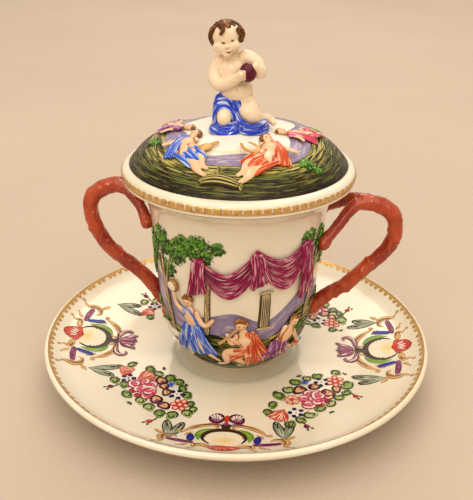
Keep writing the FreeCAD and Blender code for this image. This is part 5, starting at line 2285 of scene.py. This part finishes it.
@dataclass(frozen=True)
class Child:
    """The kneeling child with a ball on blue drapery, in the model's own coordinates."""

    cranium: Point = (-4.6, -0.3, 129.9)
    ball: Point = (3.2, -6.6, 119.3)
    curls: int = 120

    def build(self) -> None:
        """Builds the child's body, hair, ball and drapery."""
        shiny = PaintedEnamel("figure_enamel", 0.16, 0.4).build()
        painter = Painter(Open(), 91)
        body = painter.model(self.body(), Hue.CHILD_FLESH, 0.27, 5)
        self.face(painter, body)
        painter.piece("child_body", Slot.FLESH, shiny)
        ball = Clay().ball(self.ball, (3.0, 3.2, 3.35))
        for name, slot, clay, enamel, smooth, finish in (
            ("child_hair", Slot.PAINT, self.hair(), Hue.CHILD_HAIR, 1, None),
            ("child_ball", Slot.PAINT, ball, Hue.BALL, 4, shiny),
            ("child_drapery", Slot.BLUE, self.drapery(), Hue.CHILD_CLOTH, 2, shiny),
        ):
            painter = Painter(Open(), 93)
            painter.model(clay, enamel, 0.25, smooth)
            painter.piece(name, slot, finish)

    def body(self) -> Clay:
        """Head, trunk, arms and legs.

        Returns:
            The clay.
        """
        clay = Clay().ball(self.cranium, (5.2, 5.3, 5.1))
        for centre, radii in (
            ((-6.7, -3.4, 126.7), (2.3, 2.1, 2.1)), ((-1.9, -3.5, 127.3), (2.3, 2.1, 2.2)),
            ((-4.4, -3.0, 126.2), (3.2, 2.6, 2.4)), ((-3.9, -4.6, 124.6), (1.4, 1.2, 1.1)),
            ((-3.9, -6.0, 127.3), (0.8, 0.7, 0.65)), ((-3.7, -5.4, 125.8), (1.1, 0.6, 0.55)),
            ((-0.6, 0.6, 106.5), (6.6, 5.2, 4.6)), ((-1.2, -0.7, 111.5), (6.0, 5.3, 5.2)),
            ((-2.5, -0.2, 118.0), (6.2, 4.6, 5.4)), ((-9.7, 0.2, 128.6), (0.6, 0.9, 1.2)),
        ):
            clay.ball(centre, radii)
        neck = [(-3.0, 0.2, 121.0, 3.0), (-3.8, -0.4, 126.0, 2.6)]
        right_arm = [(-6.8, 0.3, 120.8, 3.0), (-8.4, -0.8, 117.4, 2.7), (-7.4, -3.0, 114.6, 2.4),
                     (-3.0, -6.0, 115.6, 2.1), (-0.2, -7.6, 117.6, 1.6), (1.2, -8.7, 118.9, 1.5)]
        left_arm = [(1.8, 0.3, 122.4, 3.2), (5.6, -0.6, 120.8, 2.7), (7.0, -2.8, 118.5, 2.3),
                    (6.6, -5.4, 119.6, 1.9), (5.6, -7.0, 121.4, 1.4)]
        right_leg = [(-3.2, -0.5, 107.0, 4.0), (-4.2, -4.6, 105.8, 3.3), (-4.6, -8.4, 104.0, 2.6)]
        left_leg = [(2.0, -0.5, 107.6, 4.1), (4.4, -5.0, 104.6, 3.6), (6.8, -3.8, 103.2, 2.5),
                    (9.2, -1.8, 102.6, 1.8), (10.8, -1.0, 102.3, 1.5), (12.0, -2.4, 101.2, 1.1)]
        clay.roll(neck, 14)
        for limb in (right_arm, left_arm, right_leg, left_leg):
            clay.roll(limb, 16)
        for reach, height in ((-9.6, 120.1), (-9.7, 119.2), (-9.5, 118.3), (-9.1, 117.5)):
            clay.roll([(0.8, reach + 1.2, height - 0.2, 0.6), (2.3, reach, height, 0.52)], 8)
        return clay

    def face(self, painter: Painter, body: Solid) -> None:
        """The brows, eyes, lips and other small touches.

        Args:
            painter: The painter.
            body: The fused body that they lie on.
        """
        for x, z, wide, high, tone in (
            (-5.3, 128.5, 0.62, 0.24, Hue.BARK), (-2.3, 129.2, 0.62, 0.24, Hue.BARK),
            (-5.3, 128.55, 0.24, 0.22, Hue.INK), (-2.3, 129.25, 0.24, 0.22, Hue.INK),
            (-5.4, 128.85, 0.72, 0.09, Hue.HAIR), (-2.2, 129.55, 0.72, 0.09, Hue.HAIR),
            (-6.9, 126.9, 1.5, 1.2, Hue.BLUSH), (-1.3, 127.4, 1.3, 1.2, Hue.BLUSH),
            (-3.5, 125.9, 0.95, 0.2, Hue.LIPS), (-3.5, 125.6, 0.5, 0.2, Hue.LIPS),
            (-4.3, 126.75, 0.16, 0.12, Hue.LIPS), (-3.5, 126.8, 0.16, 0.12, Hue.LIPS),
            (-0.6, 113.5, 0.22, 0.26, Hue.LIPS),
        ):
            painter.decal(body, (x, -3.0, z), wide, high, tone, up=(0.0, 0.0, 1.0), into=(-0.05, 1.0, 0.12))

    def hair(self) -> Clay:
        """A cap of loose curls that leaves the face and the forehead free.

        Returns:
            The clay.
        """
        chance = random.Random(92)
        x, y, z = self.cranium
        clay = Clay().ball((x + 0.1, y + 1.3, z + 0.5), (5.5, 4.9, 4.7))
        for index in range(self.curls):
            rise = 1 - 1.42 * (index + 0.5) / self.curls
            flat = math.sqrt(max(1 - rise * rise, 0.0))
            east, north = spoke(0, 0, flat, index * GOLDEN_ANGLE)
            if north < -0.28 and rise < 0.66 + 0.25 * east or (north < 0.1 and rise < -0.25):
                continue
            size = chance.uniform(0.8, 1.15)
            clay.ball((x + 5.15 * east, y + 5.1 * north + 0.3, z + 4.4 * rise), size)
        for curl in (((-6.0, -4.6, 134.0, 0.9), (-5.3, -5.5, 132.6, 0.8), (-6.1, -5.9, 131.3, 0.55)),
                     ((-9.0, -2.6, 132.0, 1.1), (-9.8, -2.2, 129.8, 0.95), (-8.9, -3.2, 127.4, 0.55)),
                     ((-0.2, -3.2, 132.2, 1.2), (0.8, -2.8, 130.8, 1.15), (0.1, -3.2, 129.0, 0.7))):
            clay.roll(curl, 10)
        return clay

    def drapery(self) -> Clay:
        """The blue cloth: a hood over one knee, a fold across the lap and two swirls on the dome.

        Returns:
            The clay.
        """
        clay = Clay()
        for step in range(4):
            deep, wide, top = 1.45 * step, 3.3 + 0.14 * step, 107.2 + 1.15 * step
            clay.roll([(-4.6 - wide, -8.0 + deep, 100.8, 0.7), (-4.6 - wide, -7.6 + deep, 104.6, 0.8),
                       (-4.6 - 0.6 * wide, -7.6 + deep, top - 0.3, 0.85),
                       (-4.4 + 0.25 * wide, -7.6 + deep, top, 0.9),
                       (-4.4 + 0.85 * wide, -7.6 + 0.7 * deep, 105.2, 0.85),
                       (-4.2 + wide, -8.0 + 0.5 * deep, 100.6, 0.8)], 12)
        for step in range(4):
            out, low = 0.6 * step, 0.75 * step
            clay.roll([(-7.2 - out, -4.6, 102.4 - low, 0.8), (-6.8 - out, -8.0 - out * 0.7, 102.0 - low, 0.9),
                       (-3.4, -9.1 - out * 0.7, 101.8 - low * 1.3, 0.95),
                       (0.4, -8.9 - out * 0.5, 102.6 - low, 0.95)], 12)
            clay.roll([(-0.4 + 0.3 * step, -7.6 - out * 0.4, 105.0 - low * 2.2, 0.95),
                       (2.0, -9.2 - out * 0.5, 102.4 - low, 1.05),
                       (5.6, -8.8 - out * 0.6, 101.3 - low * 0.7, 1.1),
                       (8.6 + out * 0.4, -6.6 - out * 0.3, 102.2 - low, 1.0),
                       (9.4 + out * 0.4, -3.8, 102.4 - low, 0.8)], 12)
        for step in range(3):
            east, south = 0.8 * step, 0.5 * step
            clay.roll([(-3.0 + east, -3.6, 109.4 + 0.2 * step, 0.9),
                       (-1.0 + east, -5.6, 108.2 - 0.2 * step, 1.0), (-0.4 + east, -6.6 + south, 105.0, 0.95),
                       (-0.6 + 0.7 * step, -7.8 + south, 101.5, 0.9)], 12)
        return clay.ball((0.4, -1.0, 99.6), (9.4, 7.6, 2.3))


@dataclass(frozen=True)
class Studio:
    """The floor, the soft lights and the camera at the photograph's viewpoint."""

    elevation: float = 25.926
    azimuth: float = 4.5
    roll: float = 0.770
    distance: float = 278.97
    aim: tuple[float, float, float] = (-0.392, 0.0, 50.565)
    focal_pixels: float = 733.3
    frame_height_pixels: float = 500.0
    sensor: float = 36.0
    floor_reach: float = 2.0
    floor_colour: Colour = (0.6, 0.503, 0.412)
    air_colour: Colour = (0.96, 0.87, 0.74)
    air_strength: float = 0.71
    gamma: float = 0.88

    def camera(self) -> None:
        """Places the camera."""
        tilt, roll = math.radians(self.elevation), math.radians(self.roll)
        back = Vector((0, -math.cos(tilt), math.sin(tilt)))
        side = Vector((1, 0, 0))
        up = side.cross(-back)
        right = side * math.cos(roll) + up * math.sin(roll)
        up = up * math.cos(roll) - side * math.sin(roll)
        matrix = Matrix((right, up, back)).transposed().to_4x4()
        matrix.translation = (Vector(self.aim) + back * self.distance) * MM
        data = bpy.data.cameras.new("camera")
        data.sensor_width = self.sensor
        data.lens = self.focal_pixels / self.frame_height_pixels * self.sensor
        data.clip_start = 0.01
        camera = bpy.data.objects.new("camera", data)
        camera.matrix_world = Matrix.Rotation(math.radians(self.azimuth), 4, "Z") @ matrix
        bpy.context.scene.collection.objects.link(camera)
        bpy.context.scene.camera = camera

    def light(self, name: str, place: Point, size: float, power: float, colour: Colour,
              aim: Point = (0, 0, 0.06)) -> None:
        """Adds a soft square light that faces the cup or another place.

        Args:
            name: Its name.
            place: Where it hangs, in metres.
            size: Its width in metres.
            power: Its power in watts.
            colour: Its colour.
            aim: What it faces.
        """
        data = bpy.data.lights.new(name, "AREA")
        data.size = size
        data.energy = power
        data.color = colour
        lamp = bpy.data.objects.new(name, data)
        lamp.location = place
        lamp.rotation_euler = (Vector(aim) - Vector(place)).to_track_quat("-Z", "Y").to_euler()
        bpy.context.scene.collection.objects.link(lamp)

    def surface(self, name: str, corners: Sequence[Point], colour: Colour) -> None:
        """Adds one flat sheet of the stage from its four corners.

        Args:
            name: Its name.
            corners: Its corners, in metres.
            colour: Its colour.
        """
        bm = bmesh.new()
        bm.faces.new([bm.verts.new(corner) for corner in corners])
        mesh = bpy.data.meshes.new(name)
        bm.to_mesh(mesh)
        bm.free()
        mesh.materials.append(Cloth(name, colour).build())
        sheet = bpy.data.objects.new(name, mesh)
        bpy.context.scene.collection.objects.link(sheet)

    def build(self) -> None:
        """Builds the stage, the lights and the camera."""
        reach = self.floor_reach
        sheet = [(x * reach, y * reach, 0.0) for x, y in ((-1, -1), (1, -1), (1, 1), (-1, 1))]
        self.surface("floor", sheet, self.floor_colour)
        self.light("ceiling", (0.0, -0.45, 1.1), 1.8, 12.6, (1.0, 0.93, 0.82))
        self.light("spark", (-0.12, -0.8, 0.62), 0.07, 0.6, (1.0, 0.93, 0.84))
        self.light("back", (0.12, 0.62, 0.9), 0.8, 1.2, (1.0, 0.88, 0.76))
        self.light("far", (0.0, 1.3, 1.25), 0.9, 7.2, (1.0, 0.86, 0.75), (0, 1.2, 0))
        world = bpy.data.worlds.new("studio")
        bpy.context.scene.world = world
        world.use_nodes = True
        air = world.node_tree.nodes["Background"].inputs
        air[0].default_value = (*self.air_colour, 1.0)
        air[1].default_value = self.air_strength
        bpy.context.scene.view_settings.view_transform = "Standard"
        bpy.context.scene.view_settings.gamma = self.gamma
        self.camera()


def dress_saucer(wall: Wall) -> None:
    """Paints the cartouches and garlands of the saucer.

    Args:
        wall: The saucer's upper surface.
    """
    Cartouche(wall, 182.6).build("saucer_cartouche_left")
    Cartouche(wall, FRONT + 0.9, Crest.SHELLS, squash=0.815, shift=4.0).build("saucer_cartouche_front")
    Cartouche(wall, 0.6).build("saucer_cartouche_right")
    Cartouche(wall, 90.0, Crest.SHELLS, squash=0.815, shift=4.0).build("saucer_cartouche_back")
    Garland(wall, 225.0, LEFT_BLOOMS, LEFT_HUSKS).build("saucer_garland_front_left")
    Garland(wall, 315.0, RIGHT_BLOOMS, RIGHT_HUSKS).build("saucer_garland_front_right")
    Garland(wall, 135.0, LEFT_BLOOMS, LEFT_HUSKS, mirror=True).build("saucer_garland_back_left")
    Garland(wall, 45.0, RIGHT_BLOOMS, RIGHT_HUSKS, mirror=True).build("saucer_garland_back_right")


def main() -> None:
    """Builds every piece in order and reports it."""
    logging.basicConfig(level=logging.INFO, format="%(message)s")
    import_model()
    random.seed(7)
    Studio().build()
    glaze, coral, gold = Glaze().build(), Coral().build(), Gold().build()
    Painter.enamel = PaintedEnamel().build()
    saucer, cup, lid = Saucer(), CupBody(), LidDome()
    saucer.build(glaze)
    cup.build(glaze)
    lid.build(glaze)
    Gilding(saucer, cup, lid, gold).build()
    Handles(cup).build(coral)
    dress_saucer(saucer.top())
    CupPicture(cup.outside()).build()
    LidPicture(lid.outside()).build()
    Child().build()


if __name__ == "__main__":
    main()
